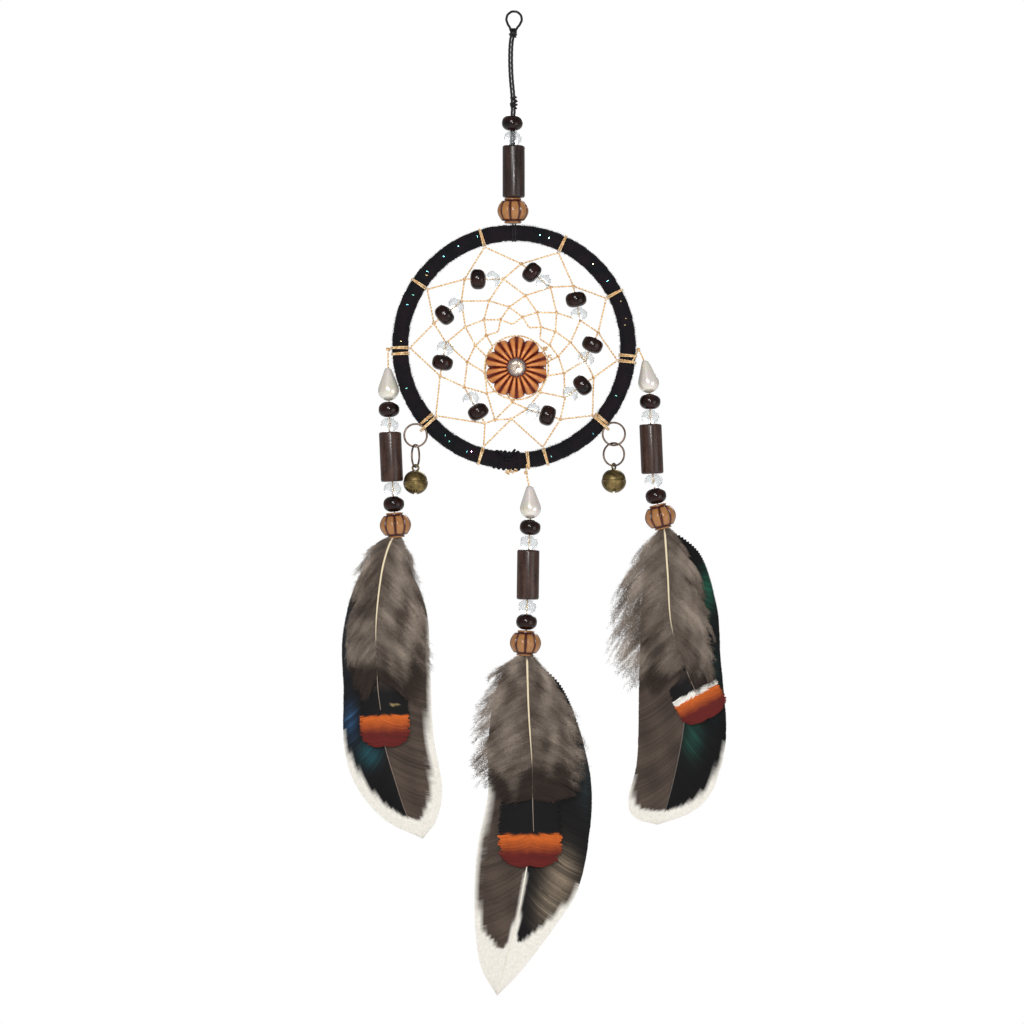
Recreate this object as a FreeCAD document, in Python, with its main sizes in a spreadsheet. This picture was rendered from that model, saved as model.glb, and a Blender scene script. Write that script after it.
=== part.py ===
"""Dream catcher: a wrapped hoop with a beaded thread web, three beaded strands with feathers
and two jingle bells, hung from a doubled cord.

Millimetres. The origin is the top inside of the hanging loop, +Z is up, and the front faces -Y.
"""
import FreeCAD, Part
import math
import os

Vector = FreeCAD.Vector
Rotation = FreeCAD.Rotation
UP = Vector(0, 0, 1)
FRONT = Vector(0, -1, 0)

SIZES = {
    # hoop
    "hoop_radius": 32.7,
    "hoop_depth": 95.9,
    "wrap_radius": 2.33,
    "core_radius": 1.5,
    "wrap_gap": 0.02,
    # threads and cord
    "thread_radius": 0.2,
    "layer_offset": 0.21,
    "strand_radius": 0.25,
    "cord_radius": 0.36,
    "knot_radius": 0.65,
    # strung beads
    "round_width": 6.0,
    "round_height": 4.6,
    "clear_width": 5.4,
    "clear_height": 3.8,
    "tube_width": 6.4,
    "tube_height": 14.3,
    "top_tube_height": 15.0,
    "tube_edge": 0.5,
    "pearl_width": 6.0,
    "pearl_height": 9.4,
    "pearl_slope": 19.6,
    "lantern_width": 9.0,
    "lantern_height": 7.2,
    "bore_radius": 0.65,
    "wide_bore_radius": 1.15,
    "bead_gap": 0.17,
    # web beads
    "web_round_width": 6.0,
    "web_round_height": 4.5,
    "web_clear_width": 5.0,
    "web_clear_height": 3.6,
    "web_bore_radius": 0.5,
    # flower and its stone
    "petal_count": 10,
    "petal_length": 6.6,
    "petal_width": 5.2,
    "petal_thickness": 2.6,
    "petal_reach": 5.6,
    "flower_back": 0.75,
    "stone_radius": 2.5,
    "stone_height": 1.5,
    "setting_wire": 0.35,
    # bells and their rings
    "ring_radius": 3.25,
    "ring_wire": 0.28,
    "ring_pitch": 5.85,
    "shank_radius": 0.86,
    "shank_wire": 0.28,
    "bell_radius": 3.55,
    "bell_half_height": 3.45,
    "bell_wall": 0.35,
    "slit_width": 0.7,
    "slit_length": 4.6,
    "pellet_radius": 1.1,
    # feathers
    "quill_radius": 0.32,
    "quill_grip": 2.8,
    "vane_thickness": 0.8,
    "fluff_thickness": 1.8,
    "feather_gap": 0.15,
}

doc = FreeCAD.newDocument("DreamCatcher")
sheet = doc.addObject("Spreadsheet::Sheet", "Sizes")
for row, (alias, size) in enumerate(SIZES.items(), start=1):
    sheet.set(f"A{row}", alias)
    sheet.set(f"B{row}", str(size))
    sheet.setAlias(f"B{row}", alias)
doc.recompute()

kept = []


def size(alias):
    return float(getattr(sheet, alias))


def made(kind, name, **bound):
    """A document object whose properties follow expressions on the sheet's cells."""
    item = doc.addObject(kind, name)
    for prop, expression in bound.items():
        item.setExpression(prop.replace("__", "."), expression)
    return item


def joined(kind, name, **links):
    item = doc.addObject(kind, name)
    for prop, value in links.items():
        setattr(item, prop, value)
    return item


def keep(item, label, place=None):
    """Name a finished sub-part, which is written to its own file."""
    item.Label = label
    if place is not None:
        item.Placement = place
    kept.append(item)
    return item


def facing(x, z, direction=UP, y=0.0):
    """The placement that turns a piece's own +Z to a direction at a point."""
    return FreeCAD.Placement(Vector(x, y, z), Rotation(UP, direction))


def shape_piece(name, shape, label=None):
    item = doc.addObject("Part::Feature", name)
    item.Shape = shape
    if label:
        keep(item, label)
    return item


def grouped(label, items):
    group = joined("Part::Compound", label, Links=items)
    return keep(group, label)


# ---------------------------------------------------------------- beads, each along its own Z

def bored(name, solid, height, bore):
    """Drill a solid that is centred on its own origin along Z."""
    drill = made("Part::Cylinder", name + "_drill", Radius=bore, Height=f"2 * ({height})",
                 Placement__Base__z=f"-({height})")
    return joined("Part::Cut", name, Base=solid, Tool=drill)


def barrel_bead(name, width, height, bulge, bore="Sizes.bore_radius"):
    """A bead with a round belly and flat ends. A larger bulge gives wider ends."""
    belly = made("Part::Ellipsoid", name + "_belly", Radius1=f"{bulge} * {height}",
                 Radius2=f"{width} / 2", Radius3=f"{width} / 2")
    ends = made("Part::Cylinder", name + "_ends", Radius=width, Height=height,
                Placement__Base__z=f"-{height} / 2")
    body = joined("Part::Common", name + "_body", Base=belly, Tool=ends)
    return bored(name, body, height, bore)


def tube_bead(name, height="Sizes.tube_height", bore="Sizes.bore_radius"):
    rod = made("Part::Cylinder", name + "_rod", Radius="Sizes.tube_width / 2", Height=height,
               Placement__Base__z=f"-{height} / 2")
    rounded = joined("Part::Fillet", name + "_rounded", Base=rod)
    edge = size("tube_edge")
    rounded.Edges = [(1, edge, edge), (3, edge, edge)]
    return bored(name, rounded, height, bore)


def faceted_bead(name, width, height, bore="Sizes.bore_radius", sides=8):
    """A cut glass bead: two rows of flat facets that meet at the belly."""
    levels = []
    for level, (share, radius) in enumerate(((-0.5, 0.3), (0, 0.5), (0.5, 0.3))):
        ring = made("Part::RegularPolygon", f"{name}_level{level}", Circumradius=f"{radius} * {width}",
                    Placement__Base__z=f"{share} * {height}")
        ring.Polygon = sides
        levels.append(ring)
    body = joined("Part::Loft", name + "_body", Sections=levels, Solid=True, Ruled=True)
    return bored(name, body, height, bore)


def pearl_bead(name):
    """A teardrop: a ball below and a cone, tangent to the ball, above."""
    ball_radius = "Sizes.pearl_width / 2"
    slope = "Sizes.pearl_slope * 1 deg"
    drop = "(Sizes.pearl_height - Sizes.pearl_width) / 2"
    ball = made("Part::Sphere", name + "_ball", Radius=ball_radius, Placement__Base__z=f"-{drop}")
    neck_start = f"{ball_radius} * sin({slope})"
    neck_height = f"Sizes.pearl_height - {ball_radius} - {neck_start}"
    neck = made("Part::Cone", name + "_neck", Radius1=f"{ball_radius} * cos({slope})",
                Radius2=f"{ball_radius} * cos({slope}) - ({neck_height}) * tan({slope})",
                Height=neck_height, Placement__Base__z=f"{neck_start} - {drop}")
    body = joined("Part::Fuse", name + "_body", Base=ball, Tool=neck)
    return bored(name, body, "Sizes.pearl_height", "Sizes.bore_radius")


# ---------------------------------------------------------------- cords and threads

def rounded_route(points):
    """A wire of straight runs joined by tangent arcs, each as large as its runs allow."""
    edges = []
    radii = []
    start = points[0]
    for before, corner, after in zip(points, points[1:], points[2:]):
        arriving = (corner - before).normalize()
        leaving = (after - corner).normalize()
        half_turn = arriving.getAngle(leaving) / 2
        trim = 0.45 * min((corner - before).Length, (after - corner).Length)
        arc_start = corner - arriving * trim
        arc_end = corner + leaving * trim
        radius = trim / math.tan(half_turn)
        inward = (leaving - arriving).normalize()
        middle = corner + inward * (radius / math.cos(half_turn) - radius)
        edges.append(Part.LineSegment(start, arc_start).toShape())
        edges.append(Part.Arc(arc_start, middle, arc_end).toShape())
        radii.append(round(radius, 1))
        start = arc_end
    edges.append(Part.LineSegment(start, points[-1]).toShape())
    return Part.Wire(edges), radii


def cord_tube(label, points, radius):
    wire, radii = rounded_route(points)
    first_run = points[1] - points[0]
    section = Part.Wire(Part.makeCircle(radius, points[0], first_run))
    tube = wire.makePipeShell([section], True, False)
    expected = math.pi * radius ** 2 * wire.Length
    print(f"{label}: length {wire.Length:.1f}, arc radii {radii}, "
          f"volume {tube.Volume:.2f} against {expected:.2f}")
    return shape_piece(label, tube, label)


def on_route(points, distance):
    """The point at a distance along a route's runs, and the direction there."""
    for a, b in zip(points, points[1:]):
        run = (b - a).Length
        if distance <= run or b is points[-1]:
            direction = (b - a).normalize()
            return a + direction * distance, direction
        distance -= run


def bent_thread(points, radius):
    """A thread with mitred corners, pulled straight between them."""
    wire = Part.makePolygon(points)
    section = Part.Wire(Part.makeCircle(radius, points[0], points[1] - points[0]))
    return wire.makePipeShell([section], True, False, 1)


# ---------------------------------------------------------------- hoop

hoop_centre = Vector(0, 0, -size("hoop_depth"))
AROUND_Y = Rotation(Vector(1, 0, 0), 90)


def hoop_ring(name, tube_radius):
    ring = made("Part::Torus", name, Radius1="Sizes.hoop_radius", Radius2=tube_radius,
                Placement__Base__z="-Sizes.hoop_depth")
    ring.Placement.Rotation = AROUND_Y
    return ring


def around_tube(name, angle, wire_radius, loop_radius, shift=0.0, forward=0.0):
    """A loop of thread or cord round the hoop's tube, at an angle round the hoop."""
    turn = math.radians(angle)
    outward = Vector(math.cos(turn), 0, math.sin(turn))
    tangent = Vector(-math.sin(turn), 0, math.cos(turn))
    loop = made("Part::Torus", name, Radius1=loop_radius, Radius2=wire_radius)
    centre = hoop_centre + outward * (size("hoop_radius") + shift) + FRONT * forward
    loop.Placement = FreeCAD.Placement(centre, Rotation(UP, tangent))
    return loop


keep(hoop_ring("hoop_core", "Sizes.core_radius - Sizes.wrap_gap"), "hoop_core")

HITCH_OFFSET = 0.36
wrap_outside = hoop_ring("wrap_outside", "Sizes.wrap_radius")
wrap_inside = hoop_ring("wrap_inside", "Sizes.core_radius")
wrap_shell = joined("Part::Cut", "wrap_shell", Base=wrap_outside, Tool=wrap_inside)
seats = [around_tube(f"hitch_seat{i}", 90, "Sizes.cord_radius + 0.02", "Sizes.wrap_radius")
         for i in range(2)]
hitch = [around_tube(f"hitch_turn{i}", 90, "Sizes.cord_radius - 0.06", "Sizes.wrap_radius")
         for i in range(2)]
for side, seat, turn in zip((-1, 1), seats, hitch):
    seat.Placement.Base.x = side * HITCH_OFFSET
    turn.Placement.Base.x = side * HITCH_OFFSET
both_seats = joined("Part::MultiFuse", "hitch_seats", Shapes=seats)
keep(joined("Part::Cut", "hoop_wrap", Base=wrap_shell, Tool=both_seats), "hoop_wrap")
grouped("hoop_hitch", hitch)

# the wrap's tied end: a thicker sleeve at the bottom of the hoop
TIE_START, TIE_ANGLE = 259.0, 14.0
sleeve = hoop_ring("sleeve_outside", "Sizes.wrap_radius + 0.45")
sleeve.Angle3 = TIE_ANGLE
sleeve.Placement.Rotation = AROUND_Y.multiply(Rotation(UP, TIE_START))
sleeve_inside = hoop_ring("sleeve_inside", "Sizes.wrap_radius + Sizes.wrap_gap")
keep(joined("Part::Cut", "wrap_end_tie", Base=sleeve, Tool=sleeve_inside), "wrap_end_tie")

# ---------------------------------------------------------------- web

ANCHORS = [64.8, 106.4, 146.5, 180.5, 221.3, 253.0, 286.0, 318.8, 352.5, 387.8]
DOUBLE_ANCHORS = [183.5, 355.5, 277.0]
web_centre = hoop_centre + Vector(1.4, 0, -0.9)
THREAD_LOOP = "Sizes.wrap_radius + Sizes.thread_radius + 0.03"
# the wraps beside the bell ties stand a little to one side of their anchors
WRAP_SHIFTS = {221.3: -1.7, 318.8: 1.7}
wraps = []
for i, angle in enumerate(ANCHORS + DOUBLE_ANCHORS):
    wrap_angle = angle + WRAP_SHIFTS.get(angle, 0)
    wraps.append(around_tube(f"anchor_wrap{i}", wrap_angle, "Sizes.thread_radius", THREAD_LOOP))
grouped("anchor_wraps", wraps)

inner_reach = size("hoop_radius") - size("wrap_radius") - 2 * size("thread_radius") - 0.05


def anchor_point(angle):
    turn = math.radians(angle)
    return hoop_centre + Vector(math.cos(turn), 0, math.sin(turn)) * inner_reach


def pulled(a, b, share, pull):
    """The point at a share of the way from a to b, pulled towards the web's centre."""
    point = a + (b - a) * share
    inward = web_centre - point
    return point + inward.normalize() * min(pull, inward.Length)


ROUND_PULLS = [4.0, 2.9, 3.6, 2.6, 2.1, 1.8]
ROUND_SHARES = [0.5, 0.35, 0.5, 0.5, 0.5, 0.5]
PLAIN_RUN = 4
# the share and pull of the runs that hang differently, by round and place
UNEVEN_RUNS = {(0, 2): (0.5, 4.6), (0, 3): (0.5, 5.2), (0, 4): (0.85, 5.8), (0, 5): (0.42, 8.0),
               (0, 7): (0.6, 4.2), (1, 4): (0.35, 0.6)}
anchors = [anchor_point(angle) for angle in ANCHORS]
rounds = []
ring = anchors
for number, (pull, share) in enumerate(zip(ROUND_PULLS, ROUND_SHARES)):
    following = ring[1:] + ring[:1]
    bends = []
    for place, (a, b) in enumerate(zip(ring, following)):
        bend_share, bend_pull = UNEVEN_RUNS.get((number, place), (share, pull))
        bends.append(pulled(a, b, bend_share, bend_pull))
    path = []
    for corner, bend in zip(ring, bends):
        path += [corner, bend]
    rounds.append(path)
    ring = bends

web_solids = []
for number, path in enumerate(rounds):
    layer = FRONT * size("layer_offset") * (1 if number % 2 else -1)
    # the round starts and ends beside the plain run's anchor
    first = 2 * (PLAIN_RUN + 1)
    route = path[first:] + path[:first]
    route.append(route[0] + (route[-1] - route[0]).normalize() * 3 * size("thread_radius"))
    web_solids.append(bent_thread([point + layer for point in route], size("thread_radius")))
shape_piece("web_thread", Part.makeCompound(web_solids), "web_thread")

# a dark bead and a clear bead on each run of the second round but one
first_round_bends = rounds[0][1::2]
second_round_bends = rounds[1][1::2]
bead_layer = FRONT * size("layer_offset")
ROUND_REACH = 3.9
CLEAR_REACH = 8.2
web_round = []
web_clear = []
for place, bend in enumerate(second_round_bends):
    if place == PLAIN_RUN:
        continue
    start = first_round_bends[(place + 1) % len(first_round_bends)]
    along = (bend - start).normalize()
    spot = start + along * ROUND_REACH + bead_layer
    bead = barrel_bead(f"web_round_bead{place}", "Sizes.web_round_width", "Sizes.web_round_height",
                       0.72, "Sizes.web_bore_radius")
    bead.Placement = FreeCAD.Placement(spot, Rotation(UP, along))
    web_round.append(bead)
    spot = start + along * CLEAR_REACH + bead_layer
    bead = faceted_bead(f"web_clear_bead{place}", "Sizes.web_clear_width", "Sizes.web_clear_height",
                        "Sizes.web_bore_radius")
    bead.Placement = FreeCAD.Placement(spot, Rotation(UP, along))
    web_clear.append(bead)
grouped("web_round_beads", web_round)
grouped("web_clear_beads", web_clear)

# ---------------------------------------------------------------- flower, setting, stone

flower_centre = hoop_centre + Vector(0.7, 0, -6.0)
petals = []
for i in range(int(size("petal_count"))):
    petal = made("Part::Ellipsoid", f"petal{i}", Radius1="Sizes.petal_thickness / 2",
                 Radius2="Sizes.petal_length / 2", Radius3="Sizes.petal_width / 2")
    turn = 360 * i / size("petal_count") + 90
    spin = Rotation(UP, turn)
    petal.Placement = FreeCAD.Placement(spin.multVec(Vector(size("petal_reach"), 0, 0)), spin)
    petals.append(petal)
hub = made("Part::Cylinder", "flower_hub", Radius="Sizes.petal_reach",
           Height="Sizes.petal_thickness / 2", Placement__Base__z="-Sizes.petal_thickness / 4")
flower = joined("Part::MultiFuse", "flower", Shapes=petals + [hub])
front_facing = Rotation(UP, FRONT)
flower_middle = flower_centre + FRONT * (size("flower_back") + size("petal_thickness") / 2)
keep(flower, "flower", FreeCAD.Placement(flower_middle, front_facing))

# the setting ring and the stone sit on the hub's front face
hub_face = flower_middle + FRONT * size("petal_thickness") / 4
setting = made("Part::Torus", "stone_setting", Radius1="Sizes.stone_radius + Sizes.setting_wire",
               Radius2="Sizes.setting_wire")
lift = FRONT * size("setting_wire")
keep(setting, "stone_setting", FreeCAD.Placement(hub_face + lift, front_facing))
facets = []
for level, (height_share, radius_share) in enumerate(((0, 0.8), (0.45, 0.98), (1, 0.5))):
    outline = made("Part::RegularPolygon", f"stone_level{level}",
                   Circumradius=f"{radius_share} * Sizes.stone_radius",
                   Placement__Base__z=f"{height_share} * Sizes.stone_height")
    outline.Polygon = 8
    facets.append(outline)
stone = joined("Part::Loft", "centre_stone", Sections=facets, Solid=True, Ruled=True)
keep(stone, "centre_stone", FreeCAD.Placement(hub_face, front_facing))

# two thread knots tie the flower to the innermost round
FLOWER_KNOTS = [(8.9, -0.6), (10.2, -2.9)]
knots = []
for i, (x, z) in enumerate(FLOWER_KNOTS):
    knot = made("Part::Sphere", f"flower_knot{i}", Radius="Sizes.knot_radius")
    knot.Placement.Base = hoop_centre + Vector(x, -1.1, z)
    knots.append(knot)
# a ring of thread behind the flower's rim
rim = made("Part::Torus", "flower_thread_ring", Radius2="Sizes.thread_radius",
           Radius1="Sizes.petal_reach + Sizes.petal_length / 2 + 0.25")
rim_centre = flower_centre + FRONT * (2 * size("layer_offset") + size("thread_radius") + 0.03)
rim.Placement = FreeCAD.Placement(rim_centre, front_facing)
grouped("flower_ties", knots + [rim])

# ---------------------------------------------------------------- hanging cord and top beads

cord = size("cord_radius")
PAIR = 0.375
# the middle line of the doubled cord, from the hoop up to the upper knot
PAIR_LINE = [(-0.3, -59.8), (-0.1, -46.0), (-0.5, -33.5), (-0.1, -25.7), (-1.0, -17.5), (-1.0, -9.0),
             (-0.2, -5.2)]
left_side = [Vector(x - PAIR, 0, z) for x, z in PAIR_LINE]
right_side = [Vector(x + PAIR, 0, z) for x, z in PAIR_LINE]
eye_radius = 6.1 * cord
eye_corner = eye_radius * math.tan(math.radians(22.5))
eye_middle = cord - eye_radius
eye_left = [Vector(-eye_radius, 0, eye_middle - eye_corner),
            Vector(-eye_radius, 0, eye_middle + eye_corner), Vector(-eye_corner, 0, cord)]
eye_right = [Vector(-point.x, 0, point.z) for point in reversed(eye_left)]
eye = eye_left + eye_right
cord_tube("hanging_cord", left_side + eye + right_side[::-1], cord)

upper_knot = made("Part::Ellipsoid", "upper_knot", Radius1="4 * Sizes.cord_radius",
                  Radius2="3.4 * Sizes.cord_radius", Radius3="3.2 * Sizes.cord_radius")
keep(upper_knot, "upper_knot", facing(-0.3, -5.9))
stopper_knot = made("Part::Ellipsoid", "stopper_knot", Radius1="5.4 * Sizes.cord_radius",
                    Radius2="3.3 * Sizes.cord_radius", Radius3="3.3 * Sizes.cord_radius")
keep(stopper_knot, "stopper_knot", facing(-0.1, -25.9))

WIDE = "Sizes.wide_bore_radius"
gap = size("bead_gap")
bead_bottom = hoop_centre.z + size("hoop_radius") + size("wrap_radius") + cord + 0.05
top_stack = [
    ("top_lantern_bead", "lantern_height", -0.35),
    ("top_tube_bead", "top_tube_height", -0.12),
    ("top_clear_bead", "clear_height", -0.35),
    ("top_round_bead", "round_height", -0.5),
]
for label, height, x in top_stack:
    if "lantern" in label:
        bead = barrel_bead(label, "Sizes.lantern_width", "Sizes.lantern_height", 0.6, WIDE)
    elif "tube" in label:
        bead = tube_bead(label, "Sizes.top_tube_height", WIDE)
    elif "clear" in label:
        bead = faceted_bead(label, "Sizes.clear_width", "Sizes.clear_height", WIDE)
    else:
        bead = barrel_bead(label, "Sizes.round_width", "Sizes.round_height", 0.72, WIDE)
    keep(bead, label, facing(x, bead_bottom + size(height) / 2))
    bead_bottom += size(height) + gap

# ---------------------------------------------------------------- strands

# each route runs from the knot at the hoop to the middle of the lantern bead
STRANDS = {
    "left": {
        "route": [(-36.2, -96.7), (-36.0, -111.3), (-35.0, -134.8), (-34.1, -146.6)],
        "start": 5.3,
        "vane": [(-1.7, -1.6), (-7, -6), (-12.5, -15.5), (-15.5, -29), (-15.2, -44), (-15, -60),
                 (-11.5, -71.5), (-3.5, -81), (7.5, -86.5), (11.5, -81), (13, -71.5), (10.5, -56),
                 (9.5, -35), (8.5, -21), (3, -7)],
        "fluff": [(-1, -1.6), (-7, -8.5), (-12, -18.5), (-13.5, -33), (-12, -44), (-9, -58),
                  (-4, -60.5), (2, -58.5), (3.5, -52), (9, -47), (9.5, -33), (7.5, -18.5), (3, -7)],
    },
    "centre": {
        "route": [(3.4, -132.1), (4.5, -135.9), (4.8, -145.3), (4.1, -153.9), (3.9, -168.5),
                  (3.3, -180.3)],
        "start": 3.9,
        "vane": [(0.5, -1), (-7.5, -8), (-10.5, -25), (-10.5, -39.5), (-13.5, -55), (-14.5, -71),
                 (-13, -88), (-8, -97.8), (-0.5, -90), (10, -76), (15.5, -66.5), (18.5, -52),
                 (19, -36.5), (15.5, -21), (10, -8.5)],
        "fluff": [(0.5, -1), (-6.5, -4.5), (-12, -17), (-14, -33.5), (-8, -42), (-6.5, -59),
                  (-1.5, -62), (5.5, -61), (11, -56.5), (11.5, -44), (17.5, -39.5), (15.5, -22),
                  (9, -6.5)],
    },
    "right": {
        "route": [(35.7, -96.8), (37.6, -99.8), (39.0, -108.9), (39.1, -117.6), (39.7, -132.0),
                  (40.2, -136.0), (41.1, -140.8), (41.95, -144.4)],
        "start": 3.6,
        "vane": [(-0.5, -1), (-5, -9.5), (-6.5, -32.5), (-7, -51), (-7.5, -67), (-10, -78), (-8, -83),
                 (-1.5, -85), (8, -81.5), (14, -75.5), (17.5, -64.5), (18, -54), (16.5, -37),
                 (15.5, -23), (11.5, -9), (6, -3)],
        "fluff": [(-0.5, -1), (-7, -5), (-14, -18), (-15.5, -32.5), (-10, -45.5), (-3, -51),
                  (3.5, -57.5), (10, -57.5), (16.5, -49.5), (16, -44), (13.5, -28), (9.5, -12.5),
                  (5, -4)],
    },
}


def feather(label, outline, foot, direction, back, thickness, quill_y):
    """A flat vane of a drawn outline with its quill, which reaches up into the lantern bead."""
    points = [foot + Vector(x, back, z) for x, z in outline]
    edge = Part.BSplineCurve()
    edge.interpolate(points, PeriodicFlag=True)
    vane = Part.Face(Part.Wire(edge.toShape())).extrude(Vector(0, -thickness, 0))
    quill_top = foot - direction * size("quill_grip") + Vector(0, quill_y, 0)
    quill_length = size("quill_grip") + 5.0
    quill = Part.makeCylinder(size("quill_radius"), quill_length, quill_top, direction)
    return shape_piece(label, vane.fuse(quill), label)


for side, strand in STRANDS.items():
    route = [Vector(x, 0, z) for x, z in strand["route"]]
    knot = made("Part::Sphere", f"{side}_knot", Radius="Sizes.knot_radius")
    keep(knot, f"{side}_knot", FreeCAD.Placement(route[0], Rotation()))
    below_knot = on_route(route, size("knot_radius") + 0.1)[0]
    cord_tube(f"{side}_thread", [below_knot] + route[1:], size("strand_radius"))
    stack = [("pearl", "pearl_height"), ("round0", "round_height"), ("clear0", "clear_height"),
             ("tube", "tube_height"), ("clear1", "clear_height"), ("round1", "round_height"),
             ("lantern", "lantern_height")]
    distance = strand["start"]
    pairs = {"round": [], "clear": []}
    for kind, height in stack:
        spot, heading = on_route(route, distance + size(height) / 2)
        place = FreeCAD.Placement(spot, Rotation(UP, heading * -1))
        name = f"{side}_{kind}_bead"
        if kind == "pearl":
            keep(pearl_bead(name), name, place)
        elif kind == "tube":
            keep(tube_bead(name), name, place)
        elif kind == "lantern":
            bead = barrel_bead(name, "Sizes.lantern_width", "Sizes.lantern_height", 0.6, WIDE)
            keep(bead, name, place)
            foot = spot + heading * (size(height) / 2)
            foot_heading = heading
        elif kind.startswith("round"):
            bead = barrel_bead(name, "Sizes.round_width", "Sizes.round_height", 0.72)
            bead.Placement = place
            pairs["round"].append(bead)
        else:
            bead = faceted_bead(name, "Sizes.clear_width", "Sizes.clear_height")
            bead.Placement = place
            pairs["clear"].append(bead)
        distance += size(height) + gap
    grouped(f"{side}_round_beads", pairs["round"])
    grouped(f"{side}_clear_beads", pairs["clear"])
    large_back = size("feather_gap") + size("vane_thickness")
    feather(f"{side}_large_feather", strand["vane"], foot, foot_heading, large_back,
            size("vane_thickness"), 0.55)
    feather(f"{side}_small_feather", strand["fluff"], foot, foot_heading, -size("feather_gap"),
            size("fluff_thickness"), -0.8)

# ---------------------------------------------------------------- bells

# each bell's ring hangs from a thread tie at an anchor, in front of the hoop's tube
BELLS = {
    "left": {"anchor": 222.0, "ring_turn": 0.0, "link_turn": 72.0, "shank_turn": 0.0},
    "right": {"anchor": 318.8, "ring_turn": 8.0, "link_turn": -26.0, "shank_turn": 55.0},
}
RING_FORWARD = 1.95
RING_REACH = size("hoop_radius") + 5.3
TIE_SHIFT = 0.33
TIE_FORWARD = 0.32
TIE_RADIUS = "Sizes.wrap_radius + 0.72"


def upright_ring(label, centre, turn, radius, wire):
    """A wire ring in a vertical plane, turned about the vertical."""
    ring = made("Part::Torus", label, Radius1=radius, Radius2=wire)
    place = FreeCAD.Placement(centre, Rotation(UP, turn).multiply(AROUND_Y))
    return keep(ring, label, place)


def bell_half(name, sign):
    """Half of a hollow bell, the bell's middle at its own origin."""
    outside = made("Part::Ellipsoid", name + "_outside", Radius1="Sizes.bell_half_height",
                   Radius2="Sizes.bell_radius", Radius3="Sizes.bell_radius")
    inside = made("Part::Ellipsoid", name + "_inside",
                  Radius1="Sizes.bell_half_height - Sizes.bell_wall",
                  Radius2="Sizes.bell_radius - Sizes.bell_wall",
                  Radius3="Sizes.bell_radius - Sizes.bell_wall")
    shell = joined("Part::Cut", name + "_shell", Base=outside, Tool=inside)
    block = made("Part::Box", name + "_block", Length="4 * Sizes.bell_radius",
                 Width="4 * Sizes.bell_radius", Height="2 * Sizes.bell_radius",
                 Placement__Base__x="-2 * Sizes.bell_radius", Placement__Base__y="-2 * Sizes.bell_radius",
                 Placement__Base__z="0.01" if sign > 0 else "-2 * Sizes.bell_radius - 0.01")
    return joined("Part::Common", name, Base=shell, Tool=block)


def slit_bell_half(name):
    """The lower half, with two crossed slits that end in round holes."""
    half = bell_half(name + "_plain", -1)
    cutters = []
    for i in range(2):
        length, width = ("Sizes.slit_length", "Sizes.slit_width")[::1 if i == 0 else -1]
        cutters.append(made("Part::Box", f"{name}_slit{i}", Length=length, Width=width,
                            Height="Sizes.bell_radius", Placement__Base__x=f"-{length} / 2",
                            Placement__Base__y=f"-{width} / 2",
                            Placement__Base__z="-1.4 * Sizes.bell_radius"))
    for i in range(4):
        hole = made("Part::Cylinder", f"{name}_hole{i}", Radius="0.75 * Sizes.slit_width",
                    Height="Sizes.bell_radius", Placement__Base__z="-1.4 * Sizes.bell_radius")
        across = Rotation(UP, 90 * i).multVec(Vector(size("slit_length") / 2, 0, 0))
        hole.Placement.Base.x = across.x
        hole.Placement.Base.y = across.y
        cutters.append(hole)
    tools = joined("Part::MultiFuse", name + "_cutters", Shapes=cutters)
    return joined("Part::Cut", name, Base=half, Tool=tools)


bell_ties = []
for side, bell in BELLS.items():
    turn = math.radians(bell["anchor"])
    outward = Vector(math.cos(turn), 0, math.sin(turn))
    tie = around_tube(f"{side}_bell_tie", bell["anchor"], "Sizes.thread_radius", TIE_RADIUS,
                      TIE_SHIFT, TIE_FORWARD)
    bell_ties.append(tie)
    ring_swing = size("ring_radius") * abs(math.sin(math.radians(bell["ring_turn"])))
    ring_forward = RING_FORWARD - ring_swing / 2
    ring_centre = hoop_centre + outward * RING_REACH + FRONT * ring_forward
    upright_ring(f"{side}_bell_ring", ring_centre, bell["ring_turn"], "Sizes.ring_radius",
                 "Sizes.ring_wire")
    link_centre = ring_centre - UP * size("ring_pitch")
    upright_ring(f"{side}_bell_link", link_centre, bell["link_turn"], "Sizes.ring_radius",
                 "Sizes.ring_wire")
    ring_inside = size("ring_radius") - size("ring_wire")
    shank_drop = ring_inside + size("shank_radius") - size("shank_wire") - 0.06
    shank_centre = link_centre - UP * shank_drop
    upright_ring(f"{side}_bell_shank", shank_centre, bell["shank_turn"], "Sizes.shank_radius",
                 "Sizes.shank_wire")
    bell_centre = shank_centre - UP * (size("shank_radius") + size("bell_half_height") - 0.15)
    middle = FreeCAD.Placement(bell_centre, Rotation())
    keep(bell_half(f"{side}_bell_top", 1), f"{side}_bell_top", middle)
    keep(slit_bell_half(f"{side}_bell_bottom"), f"{side}_bell_bottom", middle)
    pellet = made("Part::Sphere", f"{side}_bell_pellet", Radius="Sizes.pellet_radius")
    floor = size("bell_half_height") - size("bell_wall") - size("pellet_radius") - 0.05
    keep(pellet, f"{side}_bell_pellet", FreeCAD.Placement(bell_centre - UP * floor, Rotation()))
grouped("bell_ties", bell_ties)

# ---------------------------------------------------------------- check and write

doc.recompute()
for item in doc.Objects:
    if "Invalid" in item.State or "Error" in item.State:
        raise RuntimeError(f"{item.Name} did not compute: {item.State}")
for item in kept:
    if item.Shape.isNull() or not item.Shape.isValid():
        raise RuntimeError(f"{item.Label} has no valid shape")

os.makedirs("parts", exist_ok=True)
for item in kept:
    item.Shape.exportStep(f"parts/{item.Label}.step")
print(f"{len(kept)} sub-parts written")
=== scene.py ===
"""The looks of the dream catcher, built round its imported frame. Lengths in the code are millimetres
unless a name says otherwise, and every mesh is written in metres."""
import math
import random

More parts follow.
